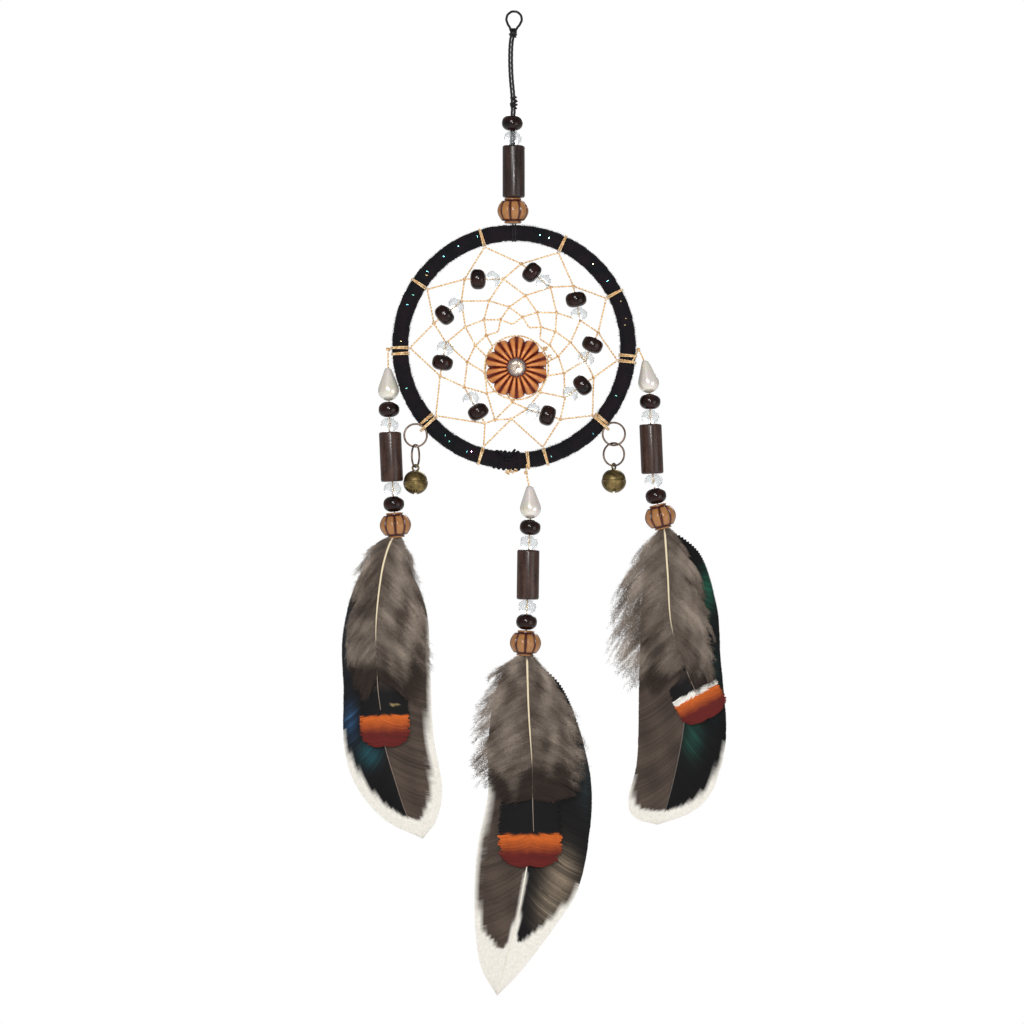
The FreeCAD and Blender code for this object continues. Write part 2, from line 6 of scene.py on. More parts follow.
import bpy
import numpy as np
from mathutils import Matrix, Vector


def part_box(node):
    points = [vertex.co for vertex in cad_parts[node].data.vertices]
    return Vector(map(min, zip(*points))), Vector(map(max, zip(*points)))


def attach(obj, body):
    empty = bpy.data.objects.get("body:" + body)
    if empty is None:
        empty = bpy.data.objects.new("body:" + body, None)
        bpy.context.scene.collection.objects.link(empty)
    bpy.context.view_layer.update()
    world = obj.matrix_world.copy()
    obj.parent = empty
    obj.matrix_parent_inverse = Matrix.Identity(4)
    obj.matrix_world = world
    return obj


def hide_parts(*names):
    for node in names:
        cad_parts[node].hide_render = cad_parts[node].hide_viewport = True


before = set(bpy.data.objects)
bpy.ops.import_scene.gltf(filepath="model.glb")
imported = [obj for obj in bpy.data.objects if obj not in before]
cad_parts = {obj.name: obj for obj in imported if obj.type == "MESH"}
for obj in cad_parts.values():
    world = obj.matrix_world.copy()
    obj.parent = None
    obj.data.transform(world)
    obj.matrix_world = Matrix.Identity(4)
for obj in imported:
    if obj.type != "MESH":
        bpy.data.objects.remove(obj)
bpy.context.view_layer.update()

MM = 0.001
TAU = 2 * math.pi
FRONT = Vector((0, -1, 0))
UP = Vector((0, 0, 1))


# ---------------------------------------------------------------- places from the frame

def node_box(name):
    low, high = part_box(name)
    return Vector(low) / MM, Vector(high) / MM


def node_centre(name):
    low, high = node_box(name)
    return (low + high) / 2


hoop_low, hoop_high = node_box("hoop_core")
HOOP = node_centre("hoop_core")
CORE_RADIUS = (hoop_high.y - hoop_low.y) / 2
HOOP_RADIUS = (hoop_high.x - hoop_low.x) / 2 - CORE_RADIUS
wrap_low, wrap_high = node_box("hoop_wrap")
WRAP_RADIUS = (wrap_high.x - wrap_low.x) / 2 - HOOP_RADIUS
# the gold thread's radius and one lay of its plies, and how far the web's layers stand from the
# hoop's middle
THREAD = 0.24
THREAD_TWIST = 0.95
LAYER = 0.21
# the radius of the wire in the bells' rings and the stone's setting
WIRE = 0.28


# ---------------------------------------------------------------- materials

class Shader:
    """A material's node tree with a Principled shader, and short ways to add nodes to it."""

    def __init__(self, name, **settings):
        self.material = bpy.data.materials.new(name)
        self.material.use_nodes = True
        self.tree = self.material.node_tree
        self.surface = self.tree.nodes["Principled BSDF"]
        for socket, value in settings.items():
            self.surface.inputs[socket.replace("_", " ")].default_value = value

    def node(self, kind, inputs=None, **settings):
        made = self.tree.nodes.new("ShaderNode" + kind)
        for key, value in settings.items():
            setattr(made, key, value)
        for key, value in (inputs or {}).items():
            if isinstance(value, bpy.types.NodeSocket):
                self.tree.links.new(value, made.inputs[key])
            else:
                made.inputs[key].default_value = value
        return made

    def into(self, socket, value):
        self.tree.links.new(value, self.surface.inputs[socket])

    def place(self):
        return self.node("TexCoord").outputs["Object"]

    def noise(self, scale, detail=3.0, rough=0.5, vector=None):
        return self.node("TexNoise", {"Vector": vector or self.place(), "Scale": scale,
                                      "Detail": detail, "Roughness": rough}).outputs["Fac"]

    def attribute(self, name, output="Fac"):
        return self.node("Attribute", attribute_name=name).outputs[output]

    def ramp(self, fac, stops, interpolation="LINEAR"):
        made = self.node("ValToRGB", {"Fac": fac})
        band = made.color_ramp
        band.interpolation = interpolation
        while len(band.elements) < len(stops):
            band.elements.new(0.5)
        for element, (position, colour) in zip(band.elements, stops):
            element.position = position
            element.color = (*colour, 1)
        return made.outputs["Color"]

    def blend(self, fac, a, b, mode="MIX"):
        made = self.node("Mix", data_type="RGBA", blend_type=mode)
        for index, value in ((0, fac), (6, a), (7, b)):
            if isinstance(value, bpy.types.NodeSocket):
                self.tree.links.new(value, made.inputs[index])
            else:
                made.inputs[index].default_value = (*value, 1) if isinstance(value, tuple) else value
        return made.outputs[2]

    def bump(self, height, strength, distance_mm):
        made = self.node("Bump", {"Height": height, "Strength": strength, "Distance": distance_mm * MM})
        self.into("Normal", made.outputs["Normal"])

    def roughness_from(self, fac, low, high):
        made = self.node("MapRange", {"Value": fac, "To Min": low, "To Max": high})
        self.into("Roughness", made.outputs["Result"])


def gold_thread():
    s = Shader("gold_thread", Roughness=0.38, Metallic=0.25, Sheen_Weight=0.3)
    # random tone from orange-gold to pale: the thread's own mottling, with the palest flecks as painted
    # glints
    tint = s.ramp(s.noise(1300.0), [(0.32, (0.50, 0.27, 0.09)), (0.50, (0.80, 0.55, 0.25)),
                                    (0.66, (1.0, 0.86, 0.56))])
    # the grooves between the plies are painted darker, as shade
    s.into("Base Color", s.blend(s.attribute("hollow"), tint, (0.34, 0.13, 0.035)))
    return s.material


def black_cord():
    s = Shader("black_cord", Roughness=0.6, Sheen_Weight=0.02, Specular_IOR_Level=0.10)
    s.into("Base Color", s.ramp(s.noise(1500.0), [(0.3, (0.006, 0.005, 0.006)),
                                                  (0.8, (0.03, 0.026, 0.03))]))
    return s.material


def velour():
    s = Shader("black_velour", Roughness=0.9, Sheen_Weight=0.10, Sheen_Roughness=0.35,
               Specular_IOR_Level=0.12)
    s.surface.inputs["Sheen Tint"].default_value = (0.30, 0.26, 0.32, 1)
    pile = s.noise(2600.0, 4.0)
    mood = s.ramp(s.noise(260.0), [(0.35, (0.006, 0.007, 0.009)), (0.65, (0.016, 0.009, 0.013))])
    s.into("Base Color", s.blend(pile, (0.003, 0.003, 0.004), mood))
    s.bump(pile, 0.8, 0.12)
    return s.material


def pile_hair():
    s = Shader("velour_pile", Roughness=0.8, Specular_IOR_Level=0.15)
    s.into("Base Color", s.ramp(s.attribute("shade"), [(0.0, (0.004, 0.004, 0.005)),
                                                       (1.0, (0.030, 0.026, 0.030))]))
    return s.material


def foil():
    s = Shader("foil_with_painted_glow", Roughness=0.18, Metallic=0.9)
    colours = [(0.0, (0.95, 0.75, 0.35)), (0.25, (0.95, 0.30, 0.75)), (0.5, (0.25, 0.85, 0.95)),
               (0.7, (0.55, 0.65, 1.0)), (0.85, (0.30, 0.9, 0.75))]
    tint = s.ramp(s.attribute("shade"), colours, "CONSTANT")
    s.into("Base Color", tint)
    # the flakes also glow by emission in their own tint: a painted glint, not lit by any lamp
    s.into("Emission Color", tint)
    s.surface.inputs["Emission Strength"].default_value = 0.55
    return s.material


def dark_bead():
    s = Shader("dark_bead", Roughness=0.2, Coat_Weight=0.30, Coat_Roughness=0.05, Specular_IOR_Level=0.12)
    grain = s.noise(420.0, 5.0)
    s.into("Base Color", s.ramp(grain, [(0.35, (0.002, 0.0008, 0.0007)), (0.70, (0.020, 0.0045, 0.0025))]))
    s.bump(grain, 0.12, 0.05)
    return s.material


def tube_wood(name, light):
    s = Shader(name, Coat_Weight=0.3, Coat_Roughness=0.18, Specular_IOR_Level=0.2)
    place = s.place()
    stretched = s.node("Mapping", {"Vector": place, "Scale": (1.0, 1.0, 0.18)}).outputs["Vector"]
    grain = s.noise(900.0, 6.0, 0.65, stretched)
    # light specks mixed into the base colour: painted highlight specks
    painted_glint_specks = s.noise(2600.0, 3.0)
    dark = (0.020 * light, 0.009 * light, 0.006 * light)
    warm = (0.105 * light, 0.045 * light, 0.030 * light)
    tint = s.ramp(grain, [(0.34, dark), (0.70, warm)])
    s.into("Base Color", s.blend(s.ramp(painted_glint_specks, [(0.58, (0, 0, 0)), (0.72, (1, 1, 1))]), tint,
                                 (0.14 * light, 0.085 * light, 0.065 * light)))
    s.roughness_from(grain, 0.22, 0.5)
    s.bump(grain, 0.35, 0.06)
    return s.material


def pearl():
    s = Shader("pearl", Roughness=0.22, Metallic=0.35, Coat_Weight=1.0, Coat_Roughness=0.06,
               Subsurface_Weight=0.15, Subsurface_Scale=0.002)
    s.into("Base Color", s.ramp(s.noise(160.0), [(0.3, (0.62, 0.59, 0.47)), (0.7, (0.66, 0.60, 0.60))]))
    return s.material


def grooved_tan(name, light, side, deep):
    """Tan moulded plastic: ridges painted light as a highlight, redder sides, and grooves painted dark as
    shade, under a random wear pattern.
    """
    s = Shader(name, Coat_Weight=0.35, Coat_Roughness=0.15, Specular_IOR_Level=0.25)
    wear = s.noise(700.0, 4.0)
    # painted light and shade by groove depth: light crests, redder sides, dark grooves
    relief_light_and_shade = s.ramp(s.attribute("hollow"), [(0.02, light), (0.24, side), (0.48, deep)])
    s.into("Base Color", s.blend(1.0, relief_light_and_shade, s.ramp(wear, [(0.3, (0.76, 0.76, 0.76)), (0.7, (1, 1, 1))]),
                                 "MULTIPLY"))
    s.roughness_from(wear, 0.28, 0.45)
    s.bump(wear, 0.2, 0.05)
    return s.material


def clear_glass():
    s = Shader("clear_glass", Roughness=0.24, Transmission_Weight=0.92, IOR=1.24)
    s.into("Base Color", s.ramp(s.noise(400.0), [(0.35, (0.84, 0.87, 0.88)), (0.65, (0.93, 0.95, 0.95))]))
    return s.material


def rhinestone():
    s = Shader("rhinestone", Roughness=0.02, Transmission_Weight=0.85, IOR=1.6)
    s.into("Base Color", s.ramp(s.noise(500.0), [(0.35, (0.86, 0.78, 0.70)), (0.65, (1, 0.98, 0.95))]))
    return s.material


def stone_foil():
    s = Shader("stone_foil", Roughness=0.15, Metallic=1.0)
    s.into("Base Color", s.ramp(s.noise(800.0), [(0.35, (0.28, 0.17, 0.10)), (0.65, (0.92, 0.80, 0.64))]))
    return s.material


def aged_metal(name, dark, bright, roughness=0.3):
    s = Shader(name, Metallic=0.95)
    patina = s.noise(520.0, 5.0, 0.6)
    s.into("Base Color", s.ramp(patina, [(0.35, dark), (0.68, bright)]))
    s.roughness_from(patina, roughness + 0.18, roughness)
    s.bump(patina, 0.15, 0.04)
    return s.material


def plain_ring():
    s = Shader("hoop_core", Roughness=0.5)
    s.into("Base Color", s.ramp(s.noise(300.0), [(0.3, (0.6, 0.58, 0.55)), (0.7, (0.7, 0.68, 0.65))]))
    return s.material


def plumage(name, sheen_tint=(1, 1, 1), sheen=0.25, roughness=0.55, weight=0.10):
    """Barbs coloured by their own tint, with fine streaks along each barb."""
    s = Shader(name, Roughness=roughness, Sheen_Weight=sheen, Specular_IOR_Level=0.10)
    s.surface.inputs["Sheen Tint"].default_value = (*sheen_tint, 1)
    streak = s.noise(1400.0, 3.0)
    shade = s.ramp(streak, [(0.25, (1 - weight, 1 - weight, 1 - weight)), (0.75, (1 + weight,) * 3)])
    s.into("Base Color", s.blend(1.0, s.attribute("tint", "Color"), shade, "MULTIPLY"))
    return s.material


# ---------------------------------------------------------------- meshes

def mesh_piece(name, shape, material, body, slot, node=None, smooth=True, key="hollow", tint=None):
    """A mesh riding on a body, in place of a node. The shape holds points in millimetres, faces
    and, if it has any, a value for each point, which goes into the attribute named by key."""
    vertices, faces, *values = shape
    mesh = bpy.data.meshes.new(name)
    mesh.from_pydata([tuple(c * MM for c in v) for v in vertices], [], faces)
    mesh.update()
    if smooth:
        mesh.polygons.foreach_set("use_smooth", [True] * len(mesh.polygons))
    if values:
        layer = mesh.attributes.new(key, "FLOAT", "POINT")
        layer.data.foreach_set("value", np.asarray(values[0], dtype=np.float32))
    if tint is not None:
        layer = mesh.attributes.new("tint", "FLOAT_COLOR", "POINT")
        colours = np.ones((len(vertices), 4), dtype=np.float32)
        colours[:, :3] = tint
        layer.data.foreach_set("color", colours.ravel())
    mesh.materials.append(material)
    piece = bpy.data.objects.new(name, mesh)
    bpy.context.collection.objects.link(piece)
    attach(piece, body)
    if node:
        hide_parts(node)
    return piece


class Parts:
    """Gathers the points and faces of several shapes that make one piece."""

    def __init__(self):
        self.vertices, self.faces, self.values = [], [], []

    def add(self, vertices, faces, values=None):
        start = len(self.vertices)
        self.vertices += vertices
        self.faces += [tuple(i + start for i in face) for face in faces]
        self.values += list(values) if values is not None else [0.0] * len(vertices)

    def piece(self, name, material, body, slot, node=None, **settings):
        shape = self.vertices, self.faces, self.values
        return mesh_piece(name, shape, material, body, slot, node, **settings)


def frame_along(direction, sideways=None):
    """Two directions square to a line."""
    side = sideways or (UP if abs(direction.z) < 0.9 else Vector((1, 0, 0)))
    a = direction.cross(side).normalized()
    return a, direction.cross(a).normalized()


def grid_faces(rows, columns, close_rows=False, close_columns=True):
    faces = []
    for i in range(rows if close_rows else rows - 1):
        j = (i + 1) % rows
        for c in range(columns if close_columns else columns - 1):
            d = (c + 1) % columns
            faces.append((i * columns + c, j * columns + c, j * columns + d, i * columns + d))
    return faces


def turned(profile, centre, axis, segments=40, shape=None):
    """A closed profile of (radius, height) turned about an axis. shape(angle, height, radius) may
    give another radius and how deep in a groove the point lies."""
    a, b = frame_along(axis)
    vertices, values = [], []
    for radius, height in profile:
        for s in range(segments):
            angle = TAU * s / segments
            r, hollow = shape(angle, height, radius) if shape else (radius, 0.0)
            vertices.append(centre + axis * height + (a * math.cos(angle) + b * math.sin(angle)) * r)
            values.append(hollow)
    return vertices, grid_faces(len(profile), segments, close_rows=True), values


def smooth_line(points, passes=2, closed=False):
    """Rounds a line's corners by cutting them, keeping its ends."""
    for _ in range(passes):
        cut = [] if closed else [points[0]]
        pairs = zip(points, points[1:] + points[:1]) if closed else zip(points, points[1:])
        for a, b in pairs:
            cut += [a.lerp(b, 0.25), a.lerp(b, 0.75)]
        points = cut if closed else cut + [points[-1]]
    return points


def evenly(points, step, closed=False):
    if closed:
        points = points + points[:1]
    lengths = [0.0]
    for a, b in zip(points, points[1:]):
        lengths.append(lengths[-1] + (b - a).length)
    count = max(2, round(lengths[-1] / step))
    marks = np.linspace(0, lengths[-1], count + 1)
    if closed:
        marks = marks[:-1]
    columns = [np.interp(marks, lengths, [p[i] for p in points]) for i in range(3)]
    return [Vector(p) for p in zip(*columns)]


def rope(points, radius, pitch, plies=2, sides=8, closed=False, depth=0.3):
    """A twisted thread along a line: the plies show as ridges that wind round it."""
    line = evenly(points, pitch / 7, closed)
    vertices, values = [], []
    side = None
    for i, point in enumerate(line):
        after = line[(i + 1) % len(line)] if closed or i + 1 < len(line) else point
        before = line[i - 1] if closed or i else point
        ahead = (after - before).normalized()
        side = ((side or frame_along(ahead)[0]) - ahead * ahead.dot(side or Vector())).normalized()
        other = ahead.cross(side)
        twist = TAU * i / 7
        for s in range(sides):
            angle = TAU * s / sides
            ridge = abs(math.cos(plies * (angle - twist / plies) / 2))
            r = radius * (1 - depth * (1 - ridge))
            vertices.append(point + (side * math.cos(angle) + other * math.sin(angle)) * r)
            values.append(1 - ridge)
    faces = grid_faces(len(line), sides, close_rows=closed)
    if not closed:
        last = len(line) - 1
        faces.append(tuple(range(sides)))
        faces.append(tuple(last * sides + s for s in reversed(range(sides))))
    return vertices, faces, values


def thread_loop(line):
    """A closed loop of twisted gold thread."""
    return rope(line, THREAD, THREAD_TWIST, closed=True, depth=0.34)


def circle(centre, axis, radius, count=40):
    a, b = frame_along(axis)
    turns = [TAU * i / count for i in range(count)]
    return [centre + (a * math.cos(turn) + b * math.sin(turn)) * radius for turn in turns]


def wire_ring(centre, axis, radius, wire, segments=56, sides=12):
    line = circle(centre, axis, radius, segments)
    vertices = []
    for point in line:
        out = (point - centre).normalized()
        for s in range(sides):
            angle = TAU * s / sides
            vertices.append(point + (out * math.cos(angle) + axis * math.sin(angle)) * wire)
    return vertices, grid_faces(segments, sides, close_rows=True)


def knot_lump(centre, radius, height, turns=2.5, thread=THREAD, seed=0):
    """A small tied knot: a thread wound into a ball."""
    points = []
    count = int(22 * turns)
    for i in range(count):
        u = i / (count - 1)
        angle = TAU * turns * u
        tilt = math.sin(TAU * 1.5 * u + seed)
        reach = radius * (0.75 + 0.25 * math.sin(math.pi * u))
        points.append(centre + Vector((math.cos(angle) * reach, math.sin(angle) * reach,
                                       (u - 0.5) * height + 0.35 * radius * tilt)))
    return rope(points, thread, 4.5 * thread, sides=7)


# ---------------------------------------------------------------- camera, light, floor

VIEW_CENTRE = Vector((-0.6, 0, -143.3)) * MM
VIEW_WIDTH = 0.2939
CAMERA_DISTANCE = 1.3
SENSOR = 36.0


def light_world(scene):
    """A white surround that lights the object only dimly, so that the lamps shape it."""
    world = bpy.data.worlds.new("studio")
    scene.world = world
    world.use_nodes = True
    tree = world.node_tree
    rays = tree.nodes.new("ShaderNodeLightPath")
    seen = tree.nodes.new("ShaderNodeMath")
    seen.operation = "MAXIMUM"
    through = tree.nodes.new("ShaderNodeMath")
    through.operation = "MULTIPLY"
    through.inputs[1].default_value = 0.7
    strength = tree.nodes.new("ShaderNodeMapRange")
    strength.inputs["To Min"].default_value = 0.40
    strength.inputs["To Max"].default_value = 1.0
    tree.links.new(rays.outputs["Is Transmission Ray"], through.inputs[0])
    tree.links.new(rays.outputs["Is Camera Ray"], seen.inputs[0])
    tree.links.new(through.outputs[0], seen.inputs[1])
    tree.links.new(seen.outputs[0], strength.inputs["Value"])
    background = tree.nodes["Background"]
    background.inputs["Color"].default_value = (1, 1, 1, 1)
    tree.links.new(strength.outputs["Result"], background.inputs["Strength"])


def set_stage():
    scene = bpy.context.scene
    camera = bpy.data.objects.new("camera", bpy.data.cameras.new("camera"))
    camera.data.sensor_width = SENSOR
    camera.data.lens = SENSOR * CAMERA_DISTANCE / VIEW_WIDTH
    camera.data.clip_start = 0.01
    camera.location = VIEW_CENTRE + FRONT * CAMERA_DISTANCE
    camera.rotation_euler = (math.pi / 2, 0, 0)
    bpy.context.collection.objects.link(camera)
    scene.camera = camera

    light_world(scene)
    lights = [("key", (-0.22, -1.05, 0.42), 0.34, 7.5), ("fill", (0.8, -0.7, -0.15), 0.6, 2.2),
              ("sparkle", (0.03, -1.15, 0.16), 0.07, 3.0), ("back", (0.2, 0.9, 0.5), 0.6, 5.0)]
    for name, place, width, power in lights:
        lamp = bpy.data.lights.new(name, "AREA")
        lamp.size = width
        lamp.energy = power
        holder = bpy.data.objects.new(name, lamp)
        holder.location = VIEW_CENTRE + Vector(place)
        holder.rotation_euler = (VIEW_CENTRE - holder.location).to_track_quat("-Z", "Y").to_euler()
        bpy.context.collection.objects.link(holder)
    scene.view_settings.view_transform = "Standard"

    floor_depth = -0.9
    reach = 5.0
    mesh = bpy.data.meshes.new("floor")
    corners = [(-reach, -reach), (reach, -reach), (reach, reach), (-reach, reach)]
    mesh.from_pydata([(x, y, floor_depth) for x, y in corners], [], [(0, 1, 2, 3)])
    s = Shader("pale_floor", Roughness=0.8, Emission_Strength=0.42)
    s.surface.inputs["Emission Color"].default_value = (1, 1, 1, 1)
    s.into("Base Color", s.ramp(s.noise(6.0), [(0.3, (0.86, 0.86, 0.86)), (0.7, (0.9, 0.9, 0.9))]))
    mesh.materials.append(s.material)
    floor = bpy.data.objects.new("floor", mesh)
    bpy.context.collection.objects.link(floor)


# ---------------------------------------------------------------- cords

# the cord's radius, one lay of its plies, and how far each of its legs stands from their middle
CORD = 0.36
CORD_TWIST = 1.5
PAIR = 0.375
PAIR_LINE = [(-0.3, -59.8), (-0.1, -46.0), (-0.5, -33.5), (-0.1, -25.7), (-1.0, -17.5), (-1.0, -9.0),
             (-0.2, -5.2)]
ROUTES = {
    "left": [(-36.2, -96.7), (-36.0, -111.3), (-35.0, -134.8), (-34.1, -146.6)],
    "centre": [(3.4, -132.1), (4.5, -135.9), (4.8, -145.3), (4.1, -153.9), (3.9, -168.5),
               (3.3, -180.3)],
    "right": [(35.7, -96.8), (37.6, -99.8), (39.0, -108.9), (39.1, -117.6), (39.7, -132.0),
              (40.2, -136.0), (41.1, -140.8), (41.95, -144.4)],
}
STRAND_START = {"left": 5.3, "centre": 3.9, "right": 3.6}
STRAND_THREAD = 0.25
KNOT = 0.65


def spline_line(points):
    """The line of a smooth spline through a cord's route, in millimetres."""
    curve = bpy.data.curves.new("route", "CURVE")
    curve.dimensions = "3D"
    spline = curve.splines.new("NURBS")
    spline.points.add(len(points) - 1)
    for control, point in zip(spline.points, points):
        control.co = (*point, 1)
    spline.order_u = 3
    spline.use_endpoint_u = True
    spline.resolution_u = 12
    holder = bpy.data.objects.new("route", curve)
    bpy.context.collection.objects.link(holder)
    bpy.context.view_layer.update()
    mesh = bpy.data.meshes.new_from_object(holder)
    line = [vertex.co.copy() for vertex in mesh.vertices]
    bpy.data.objects.remove(holder)
    bpy.data.meshes.remove(mesh)
    return line


def hang_cord(materials):
    eye_radius = 6.1 * CORD
    corner = eye_radius * math.tan(math.radians(22.5))
    middle = CORD - eye_radius
    left = [Vector((x - PAIR, 0, z)) for x, z in PAIR_LINE]
    right = [Vector((x + PAIR, 0, z)) for x, z in PAIR_LINE]
    eye = [(-eye_radius, middle - corner), (-eye_radius, middle + corner), (-corner, CORD),
           (corner, CORD), (eye_radius, middle + corner), (eye_radius, middle - corner)]
    line = spline_line(left + [Vector((x, 0, z)) for x, z in eye] + right[::-1])
    shape = rope(line, CORD, CORD_TWIST, plies=3, sides=12, depth=0.16)
    piece = mesh_piece("hanging_cord_look", shape, materials["black_cord"], "hanger", "black_cord",
                       "hanging_cord")

    for name in ("upper_knot", "stopper_knot"):
        low, high = node_box(name)
        shape = knot_lump((low + high) / 2, (high.x - low.x) / 2 - CORD * 0.8,
                          (high.z - low.z) - 2 * CORD, 3.0, CORD * 0.95)
        mesh_piece(name + "_look", shape, materials["black_cord"], "hanger", "black_cord", name)


def hang_thread(side, materials):
    route = [Vector((x, 0, z)) for x, z in ROUTES[side]]
    ahead = (route[1] - route[0]).normalized()
    route[0] = route[0] + ahead * (KNOT + 0.1)
    line = spline_line(route)
    piece = mesh_piece(f"{side}_thread_look", rope(line, STRAND_THREAD, 1.0), materials["gold_thread"],
                       f"{side}_strand", "gold_thread", f"{side}_thread")


# ---------------------------------------------------------------- beads

# the radius of a bore for one thread and for the doubled cord, and how steeply a pearl narrows
BORE = 0.65
WIDE_BORE = 1.15
PEARL_SLOPE = 19.6


def superellipse(radius, half, power, bore, count=22):
    """The outline of a barrel bead from its lower bore edge to its upper, closed along the bore."""
    outline = []
    for i in range(count + 1):
        angle = math.pi * (i / count - 0.5)
        r = radius * abs(math.cos(angle)) ** (2 / power)
        z = half * math.copysign(abs(math.sin(angle)) ** (2 / power), angle)
        if r >= bore:
            outline.append((r, z))
    top = outline[-1][1]
    return outline + [(bore, top), (bore, -top)]


def round_bead(parts, centre, axis, width, height, bore=BORE, squareness=2.35):
    parts.add(*turned(superellipse(width / 2, height / 2, squareness, bore), centre, axis))


def clear_bead(parts, centre, axis, width, height, bore=BORE, sides=10):
    """A cut bead: staggered rows of flat facets."""
    a, b = frame_along(axis)
    rows = [(0.48, -0.5), (0.86, -0.30), (1.0, 0.0), (0.86, 0.30), (0.48, 0.5)]
    vertices, faces = [], []
    for row, (radius, level) in enumerate(rows):
        for s in range(sides):
            angle = TAU * (s + 0.5 * (row % 2)) / sides
            vertices.append(centre + axis * level * height
                            + (a * math.cos(angle) + b * math.sin(angle)) * radius * width / 2)
    for row in range(len(rows) - 1):
        for s in range(sides):
            here, following = row * sides + s, row * sides + (s + 1) % sides
            above, beyond = here + sides, following + sides
            if row % 2:
                faces += [(here, following, beyond), (here, beyond, above)]
            else:
                faces += [(here, following, above), (following, beyond, above)]
    inner = len(vertices)
    for level in (-0.5, 0.5):
        for s in range(sides):
            angle = TAU * s / sides
            vertices.append(centre + axis * level * height
                            + (a * math.cos(angle) + b * math.sin(angle)) * bore)
    top = (len(rows) - 1) * sides
    for s in range(sides):
        t = (s + 1) % sides
        faces += [(s, inner + s, inner + t, t),
                  (top + s, top + t, inner + sides + t, inner + sides + s),
                  (inner + s, inner + sides + s, inner + sides + t, inner + t)]
    parts.add(vertices, faces)


def tube_profile(radius, half, bore, edge=0.55, steps=6):
    outline = []
    for sign in (-1, 1):
        for i in range(steps + 1):
            angle = math.pi / 2 * (i / steps if sign < 0 else 1 - i / steps)
            outline.append((radius - edge + edge * math.sin(angle),
                            sign * (half - edge + edge * math.cos(angle))))
    return outline + [(bore, half), (bore, -half)]


def tube_piece(name, node, body, centre, axis, width, height, bore, material):
    shape = turned(tube_profile(width / 2, height / 2, bore), centre, axis, 48)[:2]
    mesh_piece(name, shape, material, body, "tube_wood", node)


def pearl_piece(side, centre, axis, width, height, material):
    """A teardrop with its narrow end up."""
    radius = width / 2
    slope = math.radians(PEARL_SLOPE)
    ball = radius - height / 2
    outline = [(BORE, ball - math.sqrt(radius ** 2 - BORE ** 2))]
    count = 16
    start = math.asin(BORE / radius) - math.pi / 2
    for i in range(1, count + 1):
        angle = start + (slope - start) * i / count
        outline.append((radius * math.cos(angle), ball + radius * math.sin(angle)))
    neck_radius, neck = outline[-1]
    for i in range(1, 7):
        z = neck + (height / 2 - 0.35 - neck) * i / 6
        outline.append((neck_radius - (z - neck) * math.tan(slope), z))
    outline.append((outline[-1][0] - 0.25, height / 2))
    outline.append((BORE, height / 2))
    mesh_piece(f"{side}_pearl_look", turned(outline, centre, axis)[:2], material, f"{side}_strand",
               "pearl", f"{side}_pearl_bead")


def lantern_piece(name, node, body, centre, axis, width, height, bore, material, spin=0.0):
    """A fluted bead: swelling ribs between two collars, its grooves, collar rings and rib ends marked
    hollow, so that they are painted dark as shade.
    """
    half = height / 2
    ribs = 9
    collar = 0.82 * half
    profile = [(bore, -half), (0.50 * width / 2, -half), (0.56 * width / 2, -0.93 * half),
               (0.53 * width / 2, -collar)]
    count = 18
    for i in range(count + 1):
        level = -0.78 + 1.56 * i / count
        swell = math.cos(level * 1.3) ** 0.85
        profile.append((width / 2 * (0.30 + 0.70 * swell), level * half))
    profile += [(0.53 * width / 2, collar), (0.56 * width / 2, 0.93 * half), (0.50 * width / 2, half),
                (bore, half)]

    def fluted(angle, level, radius):
        if abs(level) > 0.8 * half:
            ring = 1.0 if abs(level) < 0.86 * half else 0.0
            return radius * (1 - 0.05 * ring), ring
        wave = abs(math.cos(ribs * (angle + spin) / 2))
        groove = (1 - wave) ** 3
        ends = max(0.0, (abs(level) / half - 0.66) / 0.14)
        return radius * (1 - 0.14 * groove), min(1.0, 1.25 * groove + 0.8 * ends)

    mesh_piece(name, turned(profile, centre, axis, 144, fluted), material, body, "carved_tan", node)


HEIGHTS = {"pearl": 9.4, "round": 4.6, "clear": 3.8, "tube": 14.3, "lantern": 7.2}
STACK = ["pearl", "round", "clear", "tube", "clear", "round", "lantern"]
BEAD_GAP = 0.17
ROUND_WIDTH, CLEAR_WIDTH, TUBE_WIDTH, PEARL_WIDTH, LANTERN_WIDTH = 6.0, 5.4, 6.4, 6.0, 9.0


def on_route(points, distance):
    for i, (a, b) in enumerate(zip(points, points[1:])):
        run = (b - a).length
        if distance <= run or i == len(points) - 2:
            ahead = (b - a).normalized()
            return a + ahead * distance, ahead
        distance -= run


